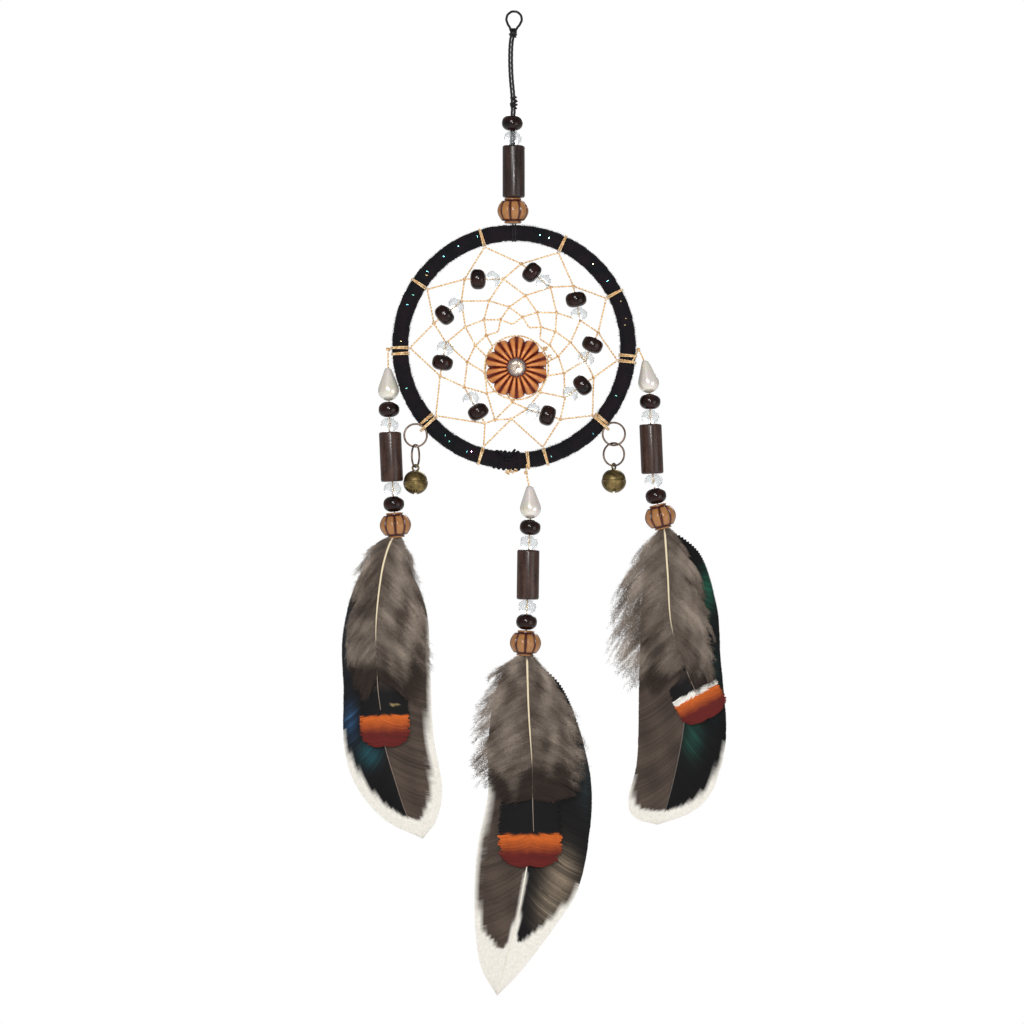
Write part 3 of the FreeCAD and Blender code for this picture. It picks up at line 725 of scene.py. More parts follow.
def string_strand(side, materials):
    """The strand's beads and its knot. Returns the lantern's lower end."""
    route = [Vector((x, 0, z)) for x, z in ROUTES[side]]
    distance = STRAND_START[side]
    rounds, clears = Parts(), Parts()
    for kind in STACK:
        height = HEIGHTS[kind]
        centre, ahead = on_route(route, distance + height / 2)
        axis = -ahead
        if kind == "pearl":
            pearl_piece(side, centre, axis, PEARL_WIDTH, height, materials["pearl"])
        elif kind == "round":
            round_bead(rounds, centre, axis, ROUND_WIDTH, height)
        elif kind == "clear":
            clear_bead(clears, centre, axis, CLEAR_WIDTH, height)
        elif kind == "tube":
            tube_piece(f"{side}_tube_look", f"{side}_tube_bead", f"{side}_tube", centre, axis,
                       TUBE_WIDTH, height, BORE, materials["tube_wood"])
        else:
            lantern_piece(f"{side}_lantern_look", f"{side}_lantern_bead", f"{side}_feathers", centre,
                          axis, LANTERN_WIDTH, height, WIDE_BORE, materials["carved_tan"])
            foot = centre + ahead * height / 2
        distance += height + BEAD_GAP
    rounds.piece(f"{side}_round_look", materials["dark_bead"], f"{side}_strand", "dark_wood",
                 f"{side}_round_beads")
    clears.piece(f"{side}_clear_look", materials["clear_glass"], f"{side}_strand", "clear_glass",
                 f"{side}_clear_beads", smooth=False)
    shape = knot_lump(node_centre(f"{side}_knot"), KNOT - THREAD, 2 * KNOT - 2 * THREAD)
    mesh_piece(f"{side}_knot_look", shape, materials["gold_thread"], f"{side}_knot", "gold_thread",
               f"{side}_knot")
    return foot


def string_top(materials):
    places = {kind: node_box(f"top_{kind}_bead") for kind in ("round", "clear", "tube", "lantern")}
    middle = {kind: (low + high) / 2 for kind, (low, high) in places.items()}
    tall = {kind: high.z - low.z for kind, (low, high) in places.items()}
    parts = Parts()
    round_bead(parts, middle["round"], UP, ROUND_WIDTH, tall["round"], WIDE_BORE)
    parts.piece("top_round_look", materials["dark_bead"], "hanger", "dark_wood", "top_round_bead")
    parts = Parts()
    clear_bead(parts, middle["clear"], UP, CLEAR_WIDTH, tall["clear"], WIDE_BORE)
    parts.piece("top_clear_look", materials["clear_glass"], "hanger", "clear_glass", "top_clear_bead",
                smooth=False)
    tube_piece("top_tube_look", "top_tube_bead", "top_tube", middle["tube"], UP, TUBE_WIDTH, tall["tube"],
               WIDE_BORE, materials["top_tube_wood"])
    lantern_piece("top_lantern_look", "top_lantern_bead", "hanger", middle["lantern"], UP,
                  LANTERN_WIDTH, tall["lantern"], WIDE_BORE, materials["carved_tan"], 0.2)


# ---------------------------------------------------------------- hoop

ANCHORS = [64.8, 106.4, 146.5, 180.5, 221.3, 253.0, 286.0, 318.8, 352.5, 387.8]
EXTRA_WRAPS = [183.5, 355.5, 277.0]
WRAP_SHIFTS = {221.3: -1.7, 318.8: 1.7}


def hoop_direction(degrees):
    turn = math.radians(degrees)
    return Vector((math.cos(turn), 0, math.sin(turn))), Vector((-math.sin(turn), 0, math.cos(turn)))


def nearest_anchor(degrees):
    """How many degrees round the hoop the nearest thread wrap stands."""
    return min(abs((degrees - anchor + 180) % 360 - 180) for anchor in ANCHORS + EXTRA_WRAPS)


# stretches of the hoop's front where tinsel shows: from, to (degrees round), flakes
TINSEL = [(108, 163, 7), (174, 206, 2), (214, 253, 6), (288, 346, 3), (364, 409, 5), (431, 438, 2)]
FOIL_TINTS = [0.1, 0.3, 0.6, 0.9]
BACK_FLAKES = 26
PILE_HAIRS = 15000


def glint(parts, degrees, out_by, tint, facing, rng):
    """A flake of tinsel lying crosswise on the hoop's tube."""
    out, tangent = hoop_direction(degrees)
    angle = math.asin(max(-0.9, min(0.9, out_by / WRAP_RADIUS)))
    normal = (facing * math.cos(angle) + out * math.sin(angle)).normalized()
    along = (normal.cross(tangent) + tangent * rng.uniform(-0.4, 0.4)).normalized()
    middle = HOOP + out * HOOP_RADIUS + normal * (WRAP_RADIUS + 0.16)
    side = normal.cross(along)
    long, wide = rng.uniform(0.26, 0.44), rng.uniform(0.09, 0.15)
    corners = [middle - along * long, middle + side * wide + normal * 0.06, middle + along * long,
               middle - side * wide]
    under = [corner - normal * 0.06 for corner in corners]
    faces = [(0, 1, 2, 3), (7, 6, 5, 4)] + [(k, k + 4, (k + 1) % 4 + 4, (k + 1) % 4) for k in range(4)]
    parts.add(corners + under, faces, [tint] * 8)


def velour_tube(rng, material):
    """The velour ribbon: a tube whose overlapping turns show as soft slanting steps."""
    turns = 54
    around, across = 1080, 28
    lift = [rng.uniform(-0.16, 0.16) for _ in range(turns + 1)]
    vertices = []
    for i in range(around):
        degrees = 360 * i / around
        out = hoop_direction(degrees)[0]
        pinch = 0.16 * math.exp(-(nearest_anchor(degrees) / 1.1) ** 2)
        for c in range(across):
            angle = TAU * c / across
            phase = turns * i / around + angle / TAU
            step = phase % 1.0
            height = lift[int(phase) % turns]
            edge = 0.16 * (0.5 - step) * (1 if step > 0.12 else step / 0.12)
            r = WRAP_RADIUS - 0.02 + height * 0.6 + edge - pinch
            vertices.append(HOOP + out * (HOOP_RADIUS + math.cos(angle) * r) + FRONT * math.sin(angle) * r)
    shape = vertices, grid_faces(around, across, close_rows=True)
    mesh_piece("hoop_wrap_look", shape, material, "hoop", "black_velour", "hoop_wrap")


def velour_pile(rng, material):
    """Fine hairs that stand from the ribbon, a few of them longer."""
    hairs = Parts()
    for _ in range(PILE_HAIRS):
        out, tangent = hoop_direction(rng.uniform(0, 360))
        angle = rng.uniform(0, TAU)
        normal = out * math.cos(angle) + FRONT * math.sin(angle)
        base = HOOP + out * HOOP_RADIUS + normal * (WRAP_RADIUS - 0.05)
        length = rng.uniform(0.25, 0.62) * (1.7 if rng.random() < 0.07 else 1.0)
        lean = tangent * rng.uniform(-0.7, 0.7) + normal.cross(tangent) * rng.uniform(-0.6, 0.6)
        tip = base + (normal + lean).normalized() * length
        wide = tangent * 0.035
        hairs.add([base - wide, base + wide, tip], [(0, 1, 2)], [rng.random()] * 3)
    hairs.piece("velour_pile", material, "hoop", "black_velour", key="shade")


def tinsel(rng, material):
    glints = Parts()
    for start, end, flakes in TINSEL:
        for k in range(flakes):
            degrees = start + (end - start) * (k + rng.random()) / flakes
            glint(glints, degrees, rng.gauss(0, 0.3), rng.choice(FOIL_TINTS), FRONT, rng)
    for _ in range(BACK_FLAKES):
        glint(glints, rng.uniform(100, 440), rng.gauss(0, 0.7), rng.random(), -FRONT, rng)
    glints.piece("tinsel_glints", material, "hoop", "black_velour", key="shade", smooth=False)


def ribbon_end(material):
    """The ribbon's end, tied round the bottom of the hoop, with a knot and two tails."""
    tie = Parts()
    for i, degrees in enumerate(np.linspace(260.5, 272.0, 6)):
        out, tangent = hoop_direction(degrees)
        centre = HOOP + out * HOOP_RADIUS
        axis = (tangent + FRONT * (0.20 * (-1) ** i)).normalized()
        tie.add(*wire_ring(centre, axis, WRAP_RADIUS + 0.02 + 0.1 * (i % 3), 0.42, 48, 10))
    knot = HOOP + hoop_direction(267.0)[0] * (HOOP_RADIUS - 0.6) + FRONT * (WRAP_RADIUS + 0.2)
    tie.add(*knot_lump(knot, 0.85, 1.2, 2.0, 0.42)[:2])
    for bend, end in (((1.0, -0.5, 1.4), (2.0, -0.1, 2.6)), ((-1.4, -0.5, 1.1), (-3.2, -0.1, 2.2))):
        tail = smooth_line([knot, knot + Vector(bend), knot + Vector(end)])
        tie.add(*rope(tail, 0.4, 3.0)[:2])
    tie.piece("wrap_tie_look", material, "hoop", "black_velour", "wrap_end_tie")


def hitch(material):
    """The two turns of cord that hold the hoop."""
    turns = Parts()
    top = HOOP + UP * HOOP_RADIUS
    for side in (-1, 1):
        line = circle(top + Vector((side * PAIR, 0, 0)), Vector((1, 0, 0)), WRAP_RADIUS, 48)
        turns.add(*rope(line, CORD - 0.06, CORD_TWIST, plies=3, sides=10, closed=True, depth=0.15))
    turns.piece("hoop_hitch_look", material, "hitch", "black_cord", "hoop_hitch")


def wrap_hoop(materials):
    rng = random.Random(4)
    velour_tube(rng, materials["velour"])
    velour_pile(rng, materials["pile_hair"])
    tinsel(rng, materials["foil"])
    ribbon_end(materials["velour"])
    hitch(materials["black_cord"])


# ---------------------------------------------------------------- web

WEB_CENTRE = HOOP + Vector((1.4, 0, -0.9))
ROUND_PULLS = [4.0, 2.9, 3.6, 2.6, 2.1, 1.8]
ROUND_SHARES = [0.5, 0.35, 0.5, 0.5, 0.5, 0.5]
PLAIN_RUN = 4
# web beads: how far each lies along its run, its width and height, and the bore
ROUND_REACH, CLEAR_REACH = 3.9, 8.2
WEB_ROUND, WEB_CLEAR, WEB_BORE = (6.0, 4.5), (5.0, 3.6), 0.5
UNEVEN_RUNS = {(0, 2): (0.5, 4.6), (0, 3): (0.5, 5.2), (0, 4): (0.85, 5.8), (0, 5): (0.42, 8.0),
               (0, 7): (0.6, 4.2), (1, 4): (0.35, 0.6)}


def web_rounds():
    """Each round of the web hangs from the middles of the round outside it."""
    def pulled(a, b, share, pull):
        point = a.lerp(b, share)
        inward = WEB_CENTRE - point
        return point + inward.normalized() * min(pull, inward.length)

    reach = HOOP_RADIUS - WRAP_RADIUS - 2 * THREAD
    ring = [HOOP + hoop_direction(angle)[0] * reach for angle in ANCHORS]
    rounds = []
    for number, (pull, share) in enumerate(zip(ROUND_PULLS, ROUND_SHARES)):
        bends = []
        for place, (a, b) in enumerate(zip(ring, ring[1:] + ring[:1])):
            bend_share, bend_pull = UNEVEN_RUNS.get((number, place), (share, pull))
            bends.append(pulled(a, b, bend_share, bend_pull))
        rounds.append((ring, bends))
        ring = bends
    return rounds


def softened(path, reach=0.35):
    """A closed path whose corners are cut a little."""
    soft = []
    for before, point, after in zip(path[-1:] + path, path, path[1:] + path[:1]):
        for other in (before, after):
            away = other - point
            soft.append(point + away.normalized() * min(reach, away.length / 3))
    return soft


def web_threads(rounds, material):
    web = Parts()
    for number, (ring, bends) in enumerate(rounds):
        layer = FRONT * LAYER * (1 if number % 2 else -1)
        path = []
        for corner, bend in zip(ring, bends):
            path += [corner + layer, bend + layer]
        web.add(*thread_loop(softened(path)))
        if number == len(rounds) - 1:
            break
        # a hitch at each bend, where the next round takes hold
        for corner, bend, following in zip(ring, bends, ring[1:] + ring[:1]):
            along = (following - corner).normalized()
            straight = circle(bend + along * 0.1, along, THREAD + 0.17, 14)
            leaning = circle(bend - along * 0.25, (along + UP * 0.3).normalized(), THREAD + 0.15, 14)
            for loop, share in ((straight, 0.85), (leaning, 0.8)):
                web.add(*rope(loop, THREAD * share, 0.8, closed=True, sides=7))
    web.piece("web_thread_look", material, "hoop", "gold_thread", "web_thread")


def web_beads(rounds, materials):
    """A dark bead and a clear bead on each run of the second round but one."""
    darks, clears = Parts(), Parts()
    first, second = rounds[0][1], rounds[1][1]
    for place, bend in enumerate(second):
        if place == PLAIN_RUN:
            continue
        start = first[(place + 1) % len(first)]
        along = (bend - start).normalized()
        round_bead(darks, start + along * ROUND_REACH + FRONT * LAYER, along, *WEB_ROUND, WEB_BORE, 2.7)
        clear_bead(clears, start + along * CLEAR_REACH + FRONT * LAYER, along, *WEB_CLEAR, WEB_BORE)
    darks.piece("web_round_look", materials["dark_bead"], "hoop", "dark_wood", "web_round_beads")
    clears.piece("web_clear_look", materials["clear_glass"], "hoop", "clear_glass", "web_clear_beads",
                 smooth=False)


def anchor_wraps(material):
    """Two turns of thread round the hoop at each anchor."""
    wraps = Parts()
    for angle in ANCHORS + EXTRA_WRAPS:
        out, tangent = hoop_direction(angle + WRAP_SHIFTS.get(angle, 0))
        for side in (-0.5, 0.5):
            centre = HOOP + out * HOOP_RADIUS + tangent * side * 0.42
            axis = (tangent + out * 0.06 * side).normalized()
            wraps.add(*thread_loop(circle(centre, axis, WRAP_RADIUS + THREAD - 0.02)))
    wraps.piece("anchor_wraps_look", material, "hoop", "gold_thread", "anchor_wraps")


# each strand's lead: where it leaves the hoop, by degrees, shares of the wrap's radius outward and
# to the front, and millimetres above the wrap; then how far along and out it bows
LEADS = {"left": (180.5, 0.6, 0.8, 0.2, 0.55, 0.6), "right": (352.5, 0.6, 0.8, 0.2, 0.55, 0.6),
         "centre": (276.2, 0.5, 1.0, 0.1, 0.6, 1.0)}


def strand_leads(material):
    """What ties the three strands to the wraps, and the tangle of thread ends at the bottom."""
    leads = Parts()
    for side, (degrees, outward, forward, above, share, bow) in LEADS.items():
        knot = node_centre(f"{side}_knot")
        begin = HOOP + hoop_direction(degrees)[0] * (HOOP_RADIUS + WRAP_RADIUS * outward) \
            + FRONT * (WRAP_RADIUS * forward + above)
        line = smooth_line([begin, begin.lerp(knot, share) + FRONT * bow, knot])
        leads.add(*rope(line, THREAD, THREAD_TWIST))
    below = HOOP + hoop_direction(269.0)[0] * (HOOP_RADIUS + WRAP_RADIUS + 0.7)
    for shift in (-1.3, -0.2, 1.0):
        centre = below + Vector((shift, -0.2 * abs(shift), 0.2 * shift))
        leads.add(*knot_lump(centre, 0.55, 0.9, 2.0, seed=shift))
    leads.piece("strand_leads", material, "hoop", "gold_thread")


def net(materials):
    rounds = web_rounds()
    web_threads(rounds, materials["gold_thread"])
    web_beads(rounds, materials)
    anchor_wraps(materials["gold_thread"])
    strand_leads(materials["gold_thread"])


# ---------------------------------------------------------------- flower

PETALS = 10
FLOWER_HOLE = 2.2
STONE_RADIUS = 2.9


def lobe(angle, reach):
    """How far the flower's rim lies at an angle, and how close to a ridge's crest."""
    wave = (PETALS * angle / TAU) % 1.0
    rim = reach * (0.87 + 0.13 * math.sin(math.pi * wave) ** 0.55)
    return rim, abs(math.sin(TAU * wave))


def flower_face(centre, back, reach, rows, columns):
    """Rows of points from the hole to the rim, domed and ridged, and how hollow each one is."""
    vertices, values = [], []
    for r in range(rows):
        u = r / (rows - 1)
        dome = 0.9 + 1.75 * math.sin(math.pi * min(1.0, 0.28 + 0.72 * u) ** 1.1)
        swell = 0.25 + 0.95 * math.sin(math.pi * (0.15 + 0.78 * u))
        # ends: the hollow value rises next to the hole, so the flower is painted darker under the stone,
        # as shade
        ends = max(0.0, 1 - 5 * u) ** 2
        for c in range(columns):
            angle = TAU * c / columns + TAU / 4 + TAU / (2 * PETALS)
            rim, ridge = lobe(TAU * c / columns, reach)
            radius = FLOWER_HOLE + (rim - FLOWER_HOLE) * u
            height = dome * (1 - u ** 6) + 0.95 * ridge ** 0.55 * swell
            vertices.append(Vector((centre.x + math.cos(angle) * radius, back - 0.25 - height,
                                    centre.z + math.sin(angle) * radius)))
            values.append(min(1.0, (1 - ridge) ** 1.5 + ends))
    return vertices, values


def flower(materials):
    low, high = node_box("flower")
    centre, back, reach = (low + high) / 2, high.y, (high.z - low.z) / 2
    rows, columns = 30, 240
    vertices, values = flower_face(centre, back, reach, rows, columns)
    faces = [face[::-1] for face in grid_faces(rows, columns)]
    rim, base = (rows - 1) * columns, rows * columns
    vertices += [Vector((point.x, back, point.z)) for point in vertices[rim:]]
    vertices += [Vector((centre.x, back, centre.z)), Vector((centre.x, back - 1.6, centre.z))]
    values += [0.6] * columns + [0.0, 1.0]
    behind, before = base + columns, base + columns + 1
    for c in range(columns):
        d = (c + 1) % columns
        faces += [(rim + c, rim + d, base + d, base + c), (base + c, base + d, behind), (c, before, d)]
    mesh_piece("flower_look", (vertices, faces, values), materials["flower_tan"], "hoop", "flower_tan",
               "flower")
    stone(materials)
    flower_ties(centre, back, reach, materials["gold_thread"])


def stone(materials):
    """A cut crown over a foil cone, in a wire setting."""
    low, high = node_box("centre_stone")
    middle = (low + high) / 2
    middle.y = high.y - 0.25
    sides = 12
    levels = [(0.30, 0.2), (1.0, -0.35), (1.0, -0.6), (0.76, -1.3), (0.46, -1.75)]
    vertices = []
    for row, (share, depth) in enumerate(levels):
        radius = STONE_RADIUS * share
        for s in range(sides):
            angle = TAU * (s + 0.5 * (row == 3)) / sides
            vertices.append(middle + Vector((math.cos(angle) * radius, depth, math.sin(angle) * radius)))
    faces = [face[::-1] for face in grid_faces(len(levels), sides)]
    faces.append(tuple(range(sides)))
    faces.append(tuple((len(levels) - 1) * sides + s for s in reversed(range(sides))))
    mesh_piece("centre_stone_look", (vertices, faces), materials["rhinestone"], "hoop", "rhinestone",
               "centre_stone", smooth=False)
    cup = Parts()
    profile = [(0.02, -0.75), (STONE_RADIUS * 0.98, -0.25), (STONE_RADIUS * 1.02, -0.30), (0.02, -0.95)]
    cup.add(*turned(profile, middle, -FRONT, 36))
    cup.piece("stone_foil_look", materials["stone_foil"], "hoop", "rhinestone")
    ring = Parts()
    ring.add(*wire_ring(middle + FRONT * 0.35, FRONT, STONE_RADIUS + 0.12, WIRE))
    ring.piece("stone_setting_look", materials["antique_brass"], "hoop", "antique_brass", "stone_setting")


def flower_ties(centre, back, reach, material):
    """A thread round the flower's back, and the two knots beside it."""
    ties = Parts()
    middle = Vector((centre.x, back + 0.22, centre.z))
    rim = [middle + Vector((math.cos(a), 0, math.sin(a))) * (reach + 0.25)
           for a in (TAU * i / 72 for i in range(72))]
    ties.add(*thread_loop(rim))
    for x, z in ((8.9, -0.6), (10.2, -2.9)):
        ties.add(*knot_lump(HOOP + Vector((x, -1.1, z)), 0.5, 0.8, 2.0))
    ties.piece("flower_ties_look", material, "hoop", "gold_thread", "flower_ties")


# ---------------------------------------------------------------- bells

def bell_profile(radius, half, wall):
    """The upper half of a pressed bell, from its rim to its crown, with a flat band at the rim."""
    outside = [(radius * 1.03, 0.0), (radius * 1.03, 0.28), (radius * 0.985, 0.42)]
    count = 14
    for i in range(1, count + 1):
        angle = math.pi / 2 * i / count
        level = 0.42 + (half - 0.42) * math.sin(angle)
        r = radius * 0.98 * math.cos(angle) ** 0.92
        outside.append((max(r, 0.05), level))
    inside = [(max(r - wall, 0.05), max(0.0, z - wall)) for r, z in reversed(outside)]
    return outside + inside


def bells(materials):
    for side in ("left", "right"):
        low, high = node_box(f"{side}_bell_top")
        radius = (high.x - low.x) / 2
        half = high.z - low.z
        middle = Vector(((low.x + high.x) / 2, (low.y + high.y) / 2, low.z))
        name = f"{side}_bell_top"
        top = Parts()
        top.add(*turned(bell_profile(radius * 0.97, half, 0.35), middle + UP * 0.02, UP, 56))
        top.piece(f"{name}_look", materials["antique_brass"], f"{side}_bell", "antique_brass", name)
        for part, (body, slot, ring_radius) in RINGS.items():
            name = f"{side}_bell_{part}"
            ring = Parts()
            ring.add(*wire_ring(node_centre(name), ring_axis(side, part), ring_radius, WIRE))
            ring.piece(f"{name}_look", materials[slot], f"{side}_{body}", slot, name)
        # the lower half keeps the frame's shape, with its crossed slits
        for node in (f"{side}_bell_bottom", f"{side}_bell_pellet"):
            set_material(node, materials["antique_brass"])

    ties = Parts()
    for angle in (222.0, 318.8):
        out, tangent = hoop_direction(angle)
        centre = HOOP + out * (HOOP_RADIUS + 0.33) + FRONT * 0.32
        for shift in (-0.2, 0.2):
            ties.add(*thread_loop(circle(centre + tangent * shift, tangent, WRAP_RADIUS + 0.72)))
    ties.piece("bell_ties_look", materials["gold_thread"], "hoop", "gold_thread", "bell_ties")


# each ring's body, slot and radius, and how far round a plumb line each one is turned
RINGS = {"ring": ("ring", "dark_bronze", 3.25), "link": ("link", "dark_bronze", 3.25),
         "shank": ("bell", "antique_brass", 0.86)}
RING_TURNS = {("left", "ring"): 0.0, ("left", "link"): 72.0, ("left", "shank"): 0.0,
              ("right", "ring"): 8.0, ("right", "link"): -26.0, ("right", "shank"): 55.0}


def ring_axis(side, part):
    turn = math.radians(RING_TURNS[(side, part)])
    return Vector((-math.sin(turn), math.cos(turn), 0))


def set_material(node, material):
    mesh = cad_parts[node].data
    mesh.materials.clear()
    mesh.materials.append(material)


# ---------------------------------------------------------------- feathers

def curve_through(points, count):
    """A smooth line through a few points of (x, z), as count points at even steps."""
    points = np.array(points, dtype=float)
    padded = np.vstack([2 * points[0] - points[1], points, 2 * points[-1] - points[-2]])
    line = []
    for mark in np.linspace(0, len(points) - 1, 4 * count):
        i = min(int(mark), len(points) - 2)
        t = mark - i
        p0, p1, p2, p3 = padded[i:i + 4]
        line.append(0.5 * (2 * p1 + (p2 - p0) * t + (2 * p0 - 5 * p1 + 4 * p2 - p3) * t * t
                           + (3 * p1 - p0 - 3 * p2 + p3) * t ** 3))
    line = np.array(line)
    lengths = np.concatenate([[0], np.cumsum(np.linalg.norm(np.diff(line, axis=0), axis=1))])
    even = np.linspace(0, lengths[-1], count)
    return np.column_stack([np.interp(even, lengths, line[:, i]) for i in (0, 1)])


def along_line(line, shares):
    """The points and directions at shares of the way along an even line."""
    marks = np.clip(shares, 0, 1) * (len(line) - 1)
    steps = np.arange(len(line))
    points = np.stack([np.interp(marks, steps, line[:, i]) for i in (0, 1)], axis=-1)
    slopes = np.gradient(line, axis=0)
    ahead = np.stack([np.interp(marks, steps, slopes[:, i]) for i in (0, 1)], axis=-1)
    return points, ahead / np.linalg.norm(ahead, axis=-1, keepdims=True)


def swept(roots, bows, tips, steps):
    """Curves from roots to tips that bend past bows, as an array of (curve, step, 2)."""
    s = np.linspace(0, 1, steps)[None, :, None]
    return roots[:, None] * (1 - s) ** 2 + bows[:, None] * 2 * s * (1 - s) + tips[:, None] * s ** 2


def mixed(a, b, share):
    share = np.clip(np.asarray(share), 0, 1)[..., None]
    return np.asarray(a) * (1 - share) + np.asarray(b) * share


class Plumes:
    """Gathers ribbons of coloured barbs."""

    def __init__(self):
        self.vertices, self.faces, self.tints, self.count = [], [], [], 0

    def ribbons(self, points, widths, tints, tilt=(0.0, 1.0, 0.0)):
        """Strips along curves. Their widths lie square to the direction tilt."""
        curves, steps, _ = points.shape
        across = np.cross(np.gradient(points, axis=1), np.array(tilt))
        across /= np.maximum(np.linalg.norm(across, axis=-1, keepdims=True), 1e-9)
        half = across * np.broadcast_to(widths, (curves, steps))[..., None] / 2
        self.vertices.append(np.stack([points - half, points + half], axis=2).reshape(-1, 3))
        self.tints.append(np.repeat(np.broadcast_to(tints, points.shape).reshape(-1, 3), 2, axis=0))
        first = self.count + 2 * steps * np.arange(curves)[:, None] + 2 * np.arange(steps - 1)[None, :]
        k = first.ravel()
        self.faces.append(np.stack([k, k + 1, k + 3, k + 2], axis=1))
        self.count += 2 * steps * curves

    def rod(self, line, depth, thick, thin, tint, sides=8):
        """A tapering rod along a line of (x, z) at depths in y."""
        steps = len(line)
        radius = np.linspace(thick, thin, steps)[:, None]
        angle = TAU * np.arange(sides)[None, :] / sides
        x = line[:, :1] + np.cos(angle) * radius
        y = np.asarray(depth).reshape(-1, 1) + np.sin(angle) * radius * 0.8
        z = np.repeat(line[:, 1:], sides, axis=1)
        self.vertices.append(np.stack([x, y, z], axis=-1).reshape(-1, 3))
        self.tints.append(np.repeat(np.broadcast_to(tint, (steps, 3)), sides, axis=0))
        self.faces.append(np.array(grid_faces(steps, sides)) + self.count)
        self.count += steps * sides

    def piece(self, name, material, body, slot, node=None):
        shape = np.vstack(self.vertices).tolist(), np.vstack(self.faces).tolist()
        mesh_piece(name, shape, material, body, slot, node, tint=np.clip(np.vstack(self.tints), 0, 1))


GREY = (0.074, 0.053, 0.041)
GREY_DEEP = (0.030, 0.020, 0.016)
PALE = (0.64, 0.615, 0.56)
NIGHT = (0.0035, 0.003, 0.0035)
DOWN = (0.29, 0.235, 0.190)
DOWN_DEEP = (0.030, 0.021, 0.017)
ORANGE = (0.42, 0.085, 0.012)
CRIMSON = (0.085, 0.008, 0.006)
IVORY = (0.62, 0.53, 0.36)

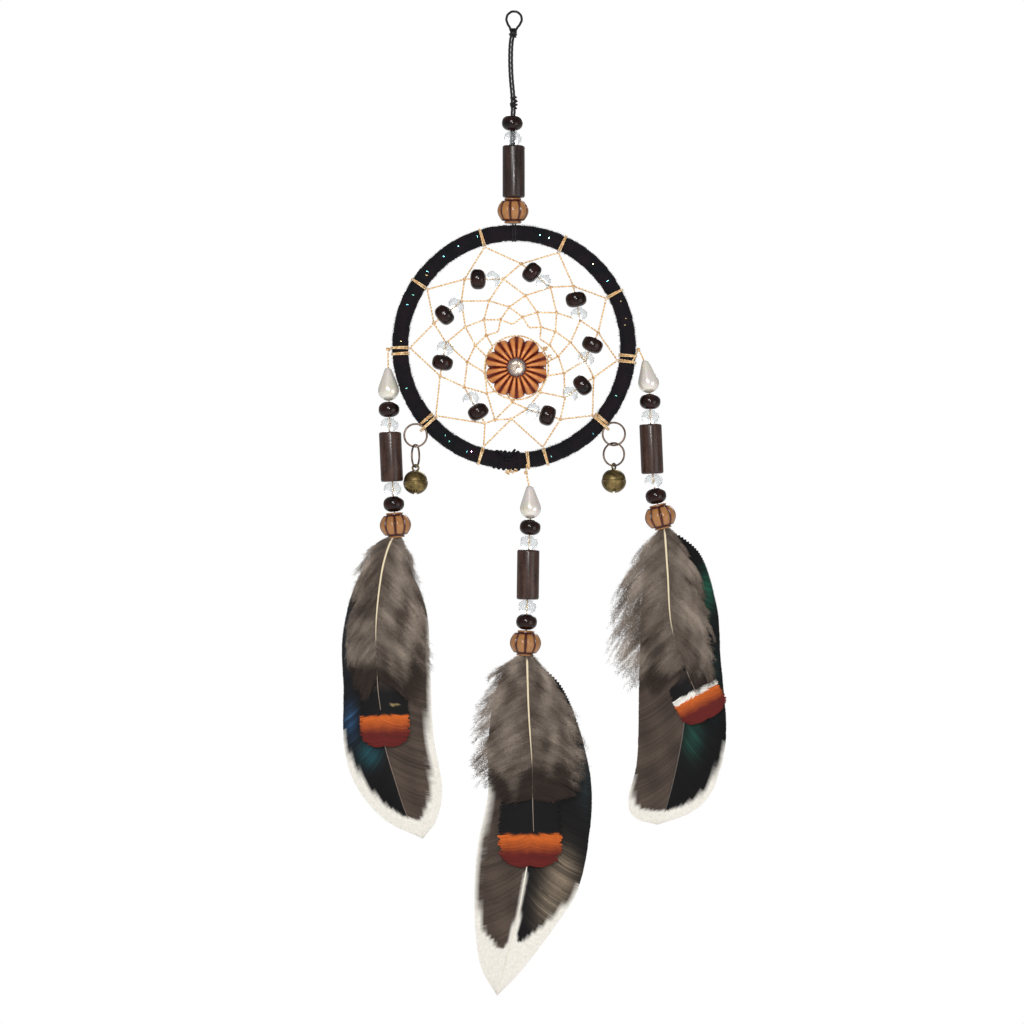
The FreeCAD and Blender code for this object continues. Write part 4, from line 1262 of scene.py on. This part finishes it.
# every point is (x, z) from the lantern bead's lower end. The margins give how wide the pale edge
# is at a height, and the glows how the dark vane's sheen lies: centre, reach, colour.
FEATHERS = {
    "left": {
        "rachis": [(0, 0.4), (-2.2, -16), (-4.4, -36), (-4.6, -48), (-3.5, -58.7), (-0.7, -68.7),
                   (3.3, -80.5), (7.3, -86.3)],
        "vane": [(-0.6, -0.6), (-7, -6), (-12.5, -15.5), (-15.5, -29), (-15.2, -44), (-15, -60),
                 (-11.5, -71.5), (-3.5, -81), (7.5, -86.5), (11.5, -81), (13, -71.5), (10.5, -56),
                 (9.5, -35), (8.5, -21), (3, -7), (0.6, -0.6)],
        "tip": 8, "dark": "left",
        "margins": {"left": [(-90, 5.5), (-78, 3.6), (-68, 2.6), (-60, 0.6), (-55, 0)],
                    "right": [(-90, 5.5), (-78, 3.8), (-66, 2.6), (-54, 1.6), (-44, 0.8), (-30, 0.5),
                              (-22, 0)]},
        "wedge": [(-90, -1), (0, -1)],
        "glows": [((-13.2, -53), (1.9, 4.5), (0.012, 0.045, 0.10)),
                  ((-8.0, -62), (2.6, 3.0), (0.008, 0.070, 0.085)),
                  ((-13.5, -30), (1.6, 10.0), (0.006, 0.012, 0.022))],
        "rachis_tint": (0.16, 0.12, 0.10), "rachis_end": 0.93,
        "down": {"left": [(-0.8, -0.3), (-5.5, -1.6), (-10.1, -5.3), (-12.9, -15.3), (-14.1, -29.7),
                          (-13.2, -39), (-9, -46)],
                 "right": [(0.8, -0.3), (3.0, -2.6), (5.0, -7), (7.2, -15.3), (9.0, -29.7), (9.4, -40),
                           (6, -47)]},
        "fade": 34.0,
        "small": [(0.2, 0.4), (-1.6, -1.1), (-4.1, -9.6), (-5.8, -25.1), (-5.4, -41.3), (-4.5, -49.4)],
        "cap": {"start": (-3.9, -40.5), "axis": (0.03, -1.0), "length": 19.9, "half": (6.9, 7.3),
                "dark_end": 0.53, "fringe": 0.0},
    },
    "centre": {
        "rachis": [(0.3, 0.4), (0.9, -16), (1.8, -34), (2.0, -48), (1.4, -55.4), (-1.8, -73.8),
                   (-5, -87), (-8.1, -97.4)],
        "vane": [(-0.4, -0.5), (-7.5, -8), (-10.5, -25), (-10.5, -39.5), (-13.5, -55), (-14.5, -71),
                 (-13, -88), (-8, -97.8), (-0.5, -90), (10, -76), (15.5, -66.5), (18.5, -52),
                 (19, -36.5), (15.5, -21), (10, -8.5), (0.8, -0.5)],
        "tip": 7, "dark": "right",
        "margins": {"left": [(-98, 20), (-87, 20), (-84, 6.0), (-79, 2.2), (-70, 1.1), (-50, 1.3),
                             (-36, 1.0), (-28, 0)],
                    "right": [(-98, 20), (-85, 20), (-82, 5.0), (-77, 2.8), (-70, 1.0), (-65, 0)]},
        "wedge": [(-88, 3.4), (-80, 1.8), (-62, 0.2), (-58, -1)],
        "glows": [((10.5, -64), (4.2, 7.5), (0.15, 0.115, 0.080)),
                  ((6.5, -73), (3.6, 6.5), (0.10, 0.078, 0.055)),
                  ((17.2, -33), (1.6, 9.0), (0.012, 0.022, 0.024))],
        "rachis_tint": (0.74, 0.70, 0.60), "rachis_end": 1.0,
        "down": {"left": [(-0.8, -0.3), (-4.4, -2.0), (-10.1, -5.0), (-13.6, -14.7), (-14.9, -26.2),
                          (-14.4, -34.5), (-9.5, -38), (-7, -42)],
                 "right": [(0.8, -0.3), (5.0, -2.4), (10.5, -9.8), (15.1, -17.6), (17.6, -27.6),
                           (17.2, -36), (10, -41)]},
        "fade": 30.0,
        "small": [(0.3, 0.4), (0.6, -0.7), (1.1, -15.9), (2.1, -31.7), (2.2, -40), (2.5, -50.4)],
        "cap": {"start": (1.6, -35.5), "axis": (0.0, -1.0), "length": 25.6, "half": (9.2, 9.0),
                "dark_end": 0.62, "fringe": 0.0},
    },
    "right": {
        "rachis": [(0.2, 0.4), (1.5, -14), (4.5, -32), (6.3, -48), (5.7, -58), (3.2, -71),
                   (0.3, -81.7), (-1.2, -84.6)],
        "vane": [(-0.6, -0.5), (-5, -9.5), (-6.5, -32.5), (-7, -51), (-7.5, -67), (-10, -78), (-8, -83),
                 (-1.5, -85), (8, -81.5), (14, -75.5), (17.5, -64.5), (18, -54), (16.5, -37),
                 (15.5, -23), (11.5, -9), (6, -3), (0.6, -0.4)],
        "tip": 7, "dark": "right",
        "margins": {"left": [(-88, 5.4), (-82, 4.6), (-78, 1.6), (-74, 0.5), (-70, 0)],
                    "right": [(-88, 5.0), (-80, 3.0), (-74, 2.0), (-66, 0.7), (-61, 0)]},
        "wedge": [(-90, -1), (0, -1)],
        "glows": [((12.6, -18), (2.0, 6.0), (0.006, 0.060, 0.036)),
                  ((8.5, -60), (2.6, 5.0), (0.005, 0.034, 0.024)),
                  ((14.5, -44), (1.6, 10.0), (0.003, 0.016, 0.014))],
        "rachis_tint": (0.10, 0.085, 0.075), "rachis_end": 0.96,
        "down": {"left": [(-0.8, -0.3), (-3.7, -3.5), (-8.8, -9.2), (-14.5, -20.7), (-16.0, -31),
                          (-15.0, -38.2), (-9.3, -44.2), (-5.7, -49)],
                 "right": [(0.8, -0.3), (6.0, -4.4), (10.7, -13.5), (13, -23.5), (15, -35), (14.5, -42),
                           (9, -46)]},
        "fade": 37.0,
        "small": [(0.2, 0.4), (0.4, -1), (1.2, -12.8), (2.3, -27.8), (6.4, -40), (9.6, -47.5)],
        "cap": {"start": (5.8, -40.8), "axis": (0.457, -0.889), "length": 15.6, "half": (7.0, 7.4),
                "dark_end": 0.50, "fringe": 0.075},
    },
}


def placed(points, foot, count=120):
    return curve_through(points, count) + np.array([foot.x, foot.z])


def clump_values(rng, count, low, high, spread):
    """A value for each barb that stays the same through a clump of neighbours."""
    values = []
    while len(values) < count:
        values += [rng.uniform(-spread, spread)] * int(rng.integers(low, high))
    return np.array(values[:count])


def edge_distance(points, outline):
    """How far each point of an array (..., 2) lies from an outline."""
    nearest = np.full(points.shape[:-1], 1e9)
    for spot in outline:
        nearest = np.minimum(nearest, np.linalg.norm(points - spot, axis=-1))
    return nearest


def spacing(flat):
    """How far each point of neighbouring barbs lies from the next barb, square to the barb."""
    beside, along = np.gradient(flat, axis=0), np.gradient(flat, axis=1)
    crossed = beside[..., 0] * along[..., 1] - beside[..., 1] * along[..., 0]
    return np.abs(crossed) / np.maximum(np.linalg.norm(along, axis=-1), 1e-9)


def soft_patches(rng, x, z, waves=9):
    """Smooth random light and shade over a surface, longer than it is wide, from 0 to 1."""
    total = np.zeros_like(x)
    for _ in range(waves):
        kx, kz, phase = rng.normal(0, 0.75), rng.normal(0, 0.38), rng.uniform(0, TAU)
        total += np.sin(kx * x + kz * z + phase)
    return np.clip(0.5 + 0.5 * total / math.sqrt(waves), 0, 1)


VANE_BARBS, VANE_STEPS = 260, 12


def vane_barbs(rachis, edge, rng):
    """Close barbs from a rachis to a vane's edge, as points of (x, z) and of (x, y, z)."""
    t = np.linspace(0.0, 0.995, VANE_BARBS)
    s = np.linspace(0, 1, VANE_STEPS)[None, :]
    lag = 0.17 * (1 - t) ** 0.8 * (1 - np.exp(-t / 0.07))
    split = clump_values(rng, VANE_BARBS, 10, 34, 0.0022) * (1 - t)
    roots, ahead = along_line(rachis, t)
    tips = along_line(edge, t + lag + split)[0]
    span = tips - roots
    fray = clump_values(rng, VANE_BARBS, 4, 16, 0.004) + rng.uniform(-0.003, 0.003, VANE_BARBS)
    length = np.linalg.norm(span, axis=1, keepdims=True)
    bows = roots + ahead * length * 0.20 + span * 0.42
    flat = swept(roots, bows, tips + span * fray[:, None], VANE_STEPS)
    camber = 0.9 + 1.0 * s ** 2 - 0.9 * (t[:, None] - 0.3) ** 2
    every_other = 0.05 * (np.arange(VANE_BARBS) % 2)[:, None]
    lift = every_other + rng.uniform(-0.012, 0.012, (VANE_BARBS, VANE_STEPS))
    return flat, np.stack([flat[..., 0], camber + lift, flat[..., 1]], axis=-1)


def glowing_tint(glows, x, z, rng):
    """The dark vane's black, with its patches of coloured sheen."""
    tint = np.broadcast_to(np.array(NIGHT), (*x.shape, 3)).copy()
    for (gx, gz), (rx, rz), glow in glows:
        strength = np.exp(-((x - gx) / rx) ** 2 - ((z - gz) / rz) ** 2)
        flicker = 0.55 + 0.9 * rng.random((len(x), 1)) ** 1.5
        tint += np.array(glow) * (strength * flicker)[..., None]
    return tint


def vane_tint(plan, hand, flat, foot, outline, rng):
    x, z = flat[..., 0] - foot.x, flat[..., 1] - foot.z
    count = len(flat)
    streak = 1 + 0.36 * (rng.random((count, 1)) - 0.5) + clump_values(rng, count, 3, 12, 0.16)[:, None]
    if hand == plan["dark"]:
        tint = glowing_tint(plan["glows"], x, z, rng)
    else:
        mottle = 0.5 + 0.5 * np.sin(0.35 * z + 0.5 * x) * np.sin(0.21 * z - 0.3 * x)
        tint = mixed(GREY, GREY_DEEP, 0.25 + 0.5 * mottle)
    tint = tint * streak[..., None]
    # the pale margin along the outline, and a pale wedge beside the rachis
    margin = np.interp(z, *zip(*plan["margins"][hand]))
    uneven = clump_values(rng, count, 3, 9, 0.06)[:, None] + rng.uniform(-0.05, 0.05, (count, 1))
    pale = (margin * (1 + uneven) - edge_distance(flat, outline)) / 0.8 + 0.5
    wedge = np.interp(z, *zip(*plan["wedge"])) - np.linalg.norm(flat - flat[:, :1], axis=-1)
    return mixed(tint, PALE, np.maximum(pale * (margin > 0.05), wedge / 0.4))


def large_feather(side, foot, materials):
    """Two vanes of close barbs on a rachis: one dark with a sheen, one grey, with pale margins."""
    plan = FEATHERS[side]
    rng = np.random.default_rng(sum(map(ord, side)))
    rachis = placed(plan["rachis"], foot)
    halves = {"left": plan["vane"][:plan["tip"] + 1], "right": plan["vane"][plan["tip"]:][::-1]}
    edges = {hand: placed(points, foot, 160) for hand, points in halves.items()}
    outline = np.vstack([edges["left"], edges["right"]])
    for hand, lean in (("left", 0.06), ("right", -0.06)):
        flat, points = vane_barbs(rachis, edges[hand], rng)
        tint = vane_tint(plan, hand, flat, foot, outline, rng)
        plumes = Plumes()
        plumes.ribbons(points, 1.7 * spacing(flat) + 0.03, tint, (lean, 1, -0.2))
        material = materials["dark_vane" if hand == plan["dark"] else "grey_vane"]
        plumes.piece(f"{side}_large_{hand}_vane", material, f"{side}_feathers", "feather_large",
                     f"{side}_large_feather")

    line = rachis[:int(len(rachis) * plan["rachis_end"])]
    depth = 0.72 - 0.9 * (np.linspace(0, plan["rachis_end"], len(line)) - 0.3) ** 2
    tint = mixed(GREY_DEEP, plan["rachis_tint"], np.linspace(-1.2, 2.6, len(line)))
    shaft = Plumes()
    shaft.rod(line, depth, 0.34, 0.10, tint)
    shaft.rod(np.array([[foot.x, foot.z + 2.6], line[0]]), [0.6, 0.62], 0.30, 0.34, IVORY)
    shaft.piece(f"{side}_large_shaft", materials["quill"], f"{side}_feathers", "feather_large")


# the down's layers, back and front: tufts to a side, barbs in each, and how far forward they lie
DOWN_LAYERS = [(60, 3, 0.25), (52, 5, -0.25)]
DOWN_STEPS, BARBULES = 12, 24


def down_barbs(rachis, edge, sign, layer, rng):
    """Barbs gathered in tufts, from a rachis out past the down's edge."""
    tufts, each, front = layer
    count = tufts * each
    s = np.linspace(0, 1, DOWN_STEPS)

    def tufted(low, high):
        return np.repeat(rng.uniform(low, high, tufts), each)

    centre = np.repeat((np.arange(tufts) + rng.uniform(0.1, 0.9, tufts)) / tufts, each)
    member = np.tile(np.linspace(-1, 1, each), tufts)
    lag = (0.36 + tufted(-0.10, 0.10)) * (1 - np.exp(-centre / 0.10))
    roots, ahead = along_line(rachis, np.clip(centre * 0.97 + member * 0.022, 0, 1))
    tips = along_line(edge, centre + lag * (1 - centre) + member * rng.uniform(0.004, 0.03, count))[0]
    reach = tufted(0.45, 1.05) ** 0.7 + rng.uniform(-0.10, 0.05, count)
    tips = roots + (tips - roots) * reach[:, None]
    length = np.linalg.norm(tips - roots, axis=1, keepdims=True)
    outward = np.stack([np.full(count, float(sign)), np.zeros(count)], axis=1)
    wave = tufted(-0.16, 0.16)[:, None]
    bows = roots + (tips - roots) * 0.5 + outward * length * (0.14 + wave) + ahead * length * 0.02
    flat = swept(roots, bows, tips, DOWN_STEPS)
    flat[..., 1] -= tufted(0.2, 1.3)[:, None] * s ** 3
    rise = front - tufted(0.1, 0.75)[:, None] * np.sin(math.pi * s * 0.8)
    y = -0.85 + rise + rng.uniform(-0.12, 0.12, (count, 1))
    return np.stack([flat[..., 0], y, flat[..., 1]], axis=-1)


def down_tint(points, foot, fade_start, layer, behind, rng):
    """Light where the down catches the light, darker at the rachis, the tips and the lower end."""
    tufts, each, _ = layer
    x, z = points[..., 0] - foot.x, points[..., 2] - foot.z
    s = np.linspace(0, 1, DOWN_STEPS)
    bright = np.repeat(rng.uniform(-0.16, 0.16, tufts), each)[:, None]
    light = soft_patches(rng, x, z) + bright
    fade = np.clip((-z - fade_start) / 9.0, 0, 1)
    # the back layer is painted darker, as shade under the front tufts
    share = 0.80 - 0.66 * light * np.sin(math.pi * (0.10 + 0.72 * s))[None, :] + 0.20 * behind
    share = share + 0.75 * fade + rng.uniform(-0.14, 0.14, (len(points), 1))
    return mixed(DOWN, DOWN_DEEP, share) * (1 + rng.uniform(-0.2, 0.2, (len(points), 1)))[..., None]


def add_barbules(plumes, points, tint, rng):
    """Barbules to both sides of each barb."""
    count, last = len(points), DOWN_STEPS - 1
    where = (np.arange(BARBULES) + rng.uniform(0.1, 0.9, (count, BARBULES))) / BARBULES * last
    low = np.minimum(where.astype(int), last - 1)
    rows = np.arange(count)[:, None]
    part = (where - low)[..., None]
    begin = points[rows, low] * (1 - part) + points[rows, low + 1] * part
    ray = points[rows, low + 1] - points[rows, low]
    ray /= np.linalg.norm(ray, axis=-1, keepdims=True)
    still = np.zeros_like(where)
    for lean in (-1, 1):
        out = np.cross(ray, (0.0, 1.0, 0.0)) * lean
        long = (rng.uniform(0.7, 2.0, where.shape) * (1 - 0.35 * where / last))[..., None]
        lift = np.stack([still, rng.uniform(-0.35, 0.2, where.shape), still], axis=-1)
        middle = begin + (out * 0.30 + ray * 0.42) * long + lift * 0.5
        end = begin + (out * 0.38 + ray * 1.0) * long + lift
        curves = np.stack([begin, middle, end], axis=2).reshape(-1, 3, 3)
        shade = tint[rows, low] * rng.uniform(0.85, 1.3, where.shape)[..., None]
        shades = np.repeat(shade[:, :, None], 3, axis=2).reshape(-1, 3, 3)
        plumes.ribbons(curves, np.array([0.070, 0.055, 0.015]), shades)


def down(side, foot, materials):
    """Two sides of loose downy barbs, each barb with its barbules."""
    plan = FEATHERS[side]
    rng = np.random.default_rng(70 + sum(map(ord, side)))
    rachis = placed(plan["small"], foot)
    rachis = rachis[:int(0.84 * len(rachis))]
    widths = 0.11 * (1 - 0.7 * np.linspace(0, 1, DOWN_STEPS))
    plumes = Plumes()
    for hand, sign in (("left", -1), ("right", 1)):
        edge = placed(plan["down"][hand], foot)
        for layer in DOWN_LAYERS:
            points = down_barbs(rachis, edge, sign, layer, rng)
            tint = down_tint(points, foot, plan["fade"], layer, layer == DOWN_LAYERS[0], rng)
            plumes.ribbons(points, widths, tint)
            add_barbules(plumes, points, tint, rng)
    plumes.piece(f"{side}_small_down", materials["down"], f"{side}_feathers", "feather_small",
                 f"{side}_small_feather")


CAP_BARBS, CAP_STEPS = 120, 9


def cap_barbs(cap, start, axis, across, half, rng):
    """One side of the small feather's firm tip, as points of (x, z) and of (x, y, z)."""
    t = np.linspace(0, 0.99, CAP_BARBS)
    s = np.linspace(0, 1, CAP_STEPS)[None, :]
    u = np.linspace(0, 1, 80)
    middle = start + axis * cap["length"] * u[:, None]
    blunt = (1 - np.maximum(0, (u - 0.70) / 0.30) ** 3.2) ** 0.5
    swell = (0.80 + 0.20 * np.sin(math.pi * np.minimum(u / 0.62, 1) / 2)) * blunt
    roots, ahead = along_line(middle, t)
    edge = middle + across * (half * swell)[:, None]
    tips = along_line(edge, t + 0.22 * (1 - t) + clump_values(rng, CAP_BARBS, 4, 14, 0.012))[0]
    span = tips - roots
    tips = tips + span * rng.uniform(-0.12, 0.03, (CAP_BARBS, 1))
    bows = roots + ahead * np.linalg.norm(span, axis=1, keepdims=True) * 0.16 + span * 0.45
    flat = swept(roots, bows, tips, CAP_STEPS)
    y = -0.55 + 0.45 * s ** 2 + 0.04 * (np.arange(CAP_BARBS) % 2)[:, None]
    return flat, np.stack([flat[..., 0], y, flat[..., 1]], axis=-1)


def cap_tint(cap, share, marked, rng):
    """Dark, then rust after dark_end, with a pale fringe between them or a small mark."""
    dark_end = cap["dark_end"]
    tint = mixed(DOWN_DEEP, NIGHT, share / 0.22)
    rust = mixed(ORANGE, CRIMSON, (share - dark_end - 0.06) / (0.45 * (1 - dark_end)))
    tint = mixed(tint, rust, (share - dark_end) / 0.02)
    if cap["fringe"]:
        fringe = (share > dark_end - cap["fringe"]) & (share < dark_end + 0.02)
        tint = mixed(tint, PALE, fringe * 0.9)
    s = np.linspace(0, 1, CAP_STEPS)[None, :]
    mark = (np.abs(share - dark_end + 0.13) < 0.012) & (s > 0.25) & (s < 0.7) & marked
    tint = mixed(tint, (0.30, 0.22, 0.10), mark * 0.7)
    return tint * (1 + rng.uniform(-0.14, 0.14, (CAP_BARBS, 1)))[..., None]


def cap_feather(side, foot, materials):
    """The small feather's firm tip and its shaft."""
    plan = FEATHERS[side]
    cap = plan["cap"]
    rng = np.random.default_rng(7 + sum(map(ord, side)))
    axis = np.array(cap["axis"]) / np.linalg.norm(cap["axis"])
    start = np.array([foot.x, foot.z]) + np.array(cap["start"])
    tip = Plumes()
    for sign, half in zip((-1, 1), cap["half"]):
        across = np.array([-axis[1], axis[0]]) * sign
        flat, points = cap_barbs(cap, start, axis, across, half, rng)
        scallop = 0.018 * np.abs(np.sin(0.9 * (flat @ across)))
        share = ((flat - start) @ axis) / cap["length"] + scallop
        share = share + rng.uniform(-0.012, 0.012, (CAP_BARBS, 1))
        tint = cap_tint(cap, share, side == "left" and sign > 0, rng)
        tip.ribbons(points, 1.7 * spacing(flat) + 0.03, tint)
    tip.piece(f"{side}_small_tip", materials["rust_vane"], f"{side}_feathers", "feather_small")

    rachis = placed(plan["small"], foot)
    share = np.linspace(0, 1, len(rachis))
    depth = -1.25 - 0.35 * np.sin(math.pi * np.minimum(1, share * 1.4)) * (share < 0.6)
    tint = mixed(IVORY, (0.24, 0.19, 0.15), (share - 0.45) / 0.2)
    buried = 0.75 * np.exp(-((share - 0.72) / 0.10) ** 2)
    shaft = Plumes()
    shaft.rod(rachis, depth + buried, 0.34, 0.08, tint)
    shaft.rod(np.array([[foot.x, foot.z + 2.6], rachis[0]]), [-0.8, -1.15], 0.30, 0.34, IVORY)
    shaft.piece(f"{side}_small_shaft", materials["quill"], f"{side}_feathers", "feather_small")


# ---------------------------------------------------------------- the whole

def main():
    set_stage()
    materials = {
        "gold_thread": gold_thread(), "black_cord": black_cord(), "velour": velour(),
        "pile_hair": pile_hair(), "foil": foil(), "dark_bead": dark_bead(),
        "tube_wood": tube_wood("tube_wood", 0.55), "top_tube_wood": tube_wood("top_tube_wood", 0.3),
        "pearl": pearl(), "clear_glass": clear_glass(), "rhinestone": rhinestone(),
        "stone_foil": stone_foil(), "hoop_core": plain_ring(),
        "carved_tan": grooved_tan("carved_tan", (0.33, 0.145, 0.046), (0.23, 0.085, 0.022),
                                  (0.050, 0.008, 0.004)),
        "flower_tan": grooved_tan("flower_tan", (0.62, 0.235, 0.065), (0.36, 0.070, 0.012),
                                  (0.100, 0.007, 0.004)),
        "antique_brass": aged_metal("antique_brass", (0.045, 0.032, 0.014), (0.25, 0.18, 0.07)),
        "dark_bronze": aged_metal("dark_bronze", (0.07, 0.045, 0.035), (0.24, 0.17, 0.13)),
        "grey_vane": plumage("grey_vane", roughness=0.6, sheen=0.0),
        "dark_vane": plumage("dark_vane", roughness=0.4, sheen=0.0),
        "down": plumage("down", (0.9, 0.85, 0.8), 0.05, 0.8),
        "rust_vane": plumage("rust_vane", roughness=0.5, sheen=0.0),
        "quill": plumage("quill", weight=0.06, roughness=0.35, sheen=0.0),
    }
    hang_cord(materials)
    for side in ROUTES:
        hang_thread(side, materials)
    string_top(materials)
    wrap_hoop(materials)
    set_material("hoop_core", materials["hoop_core"])
    net(materials)
    flower(materials)
    bells(materials)
    for side in ROUTES:
        foot = string_strand(side, materials)
        large_feather(side, foot, materials)
        down(side, foot, materials)
        cap_feather(side, foot, materials)


main()
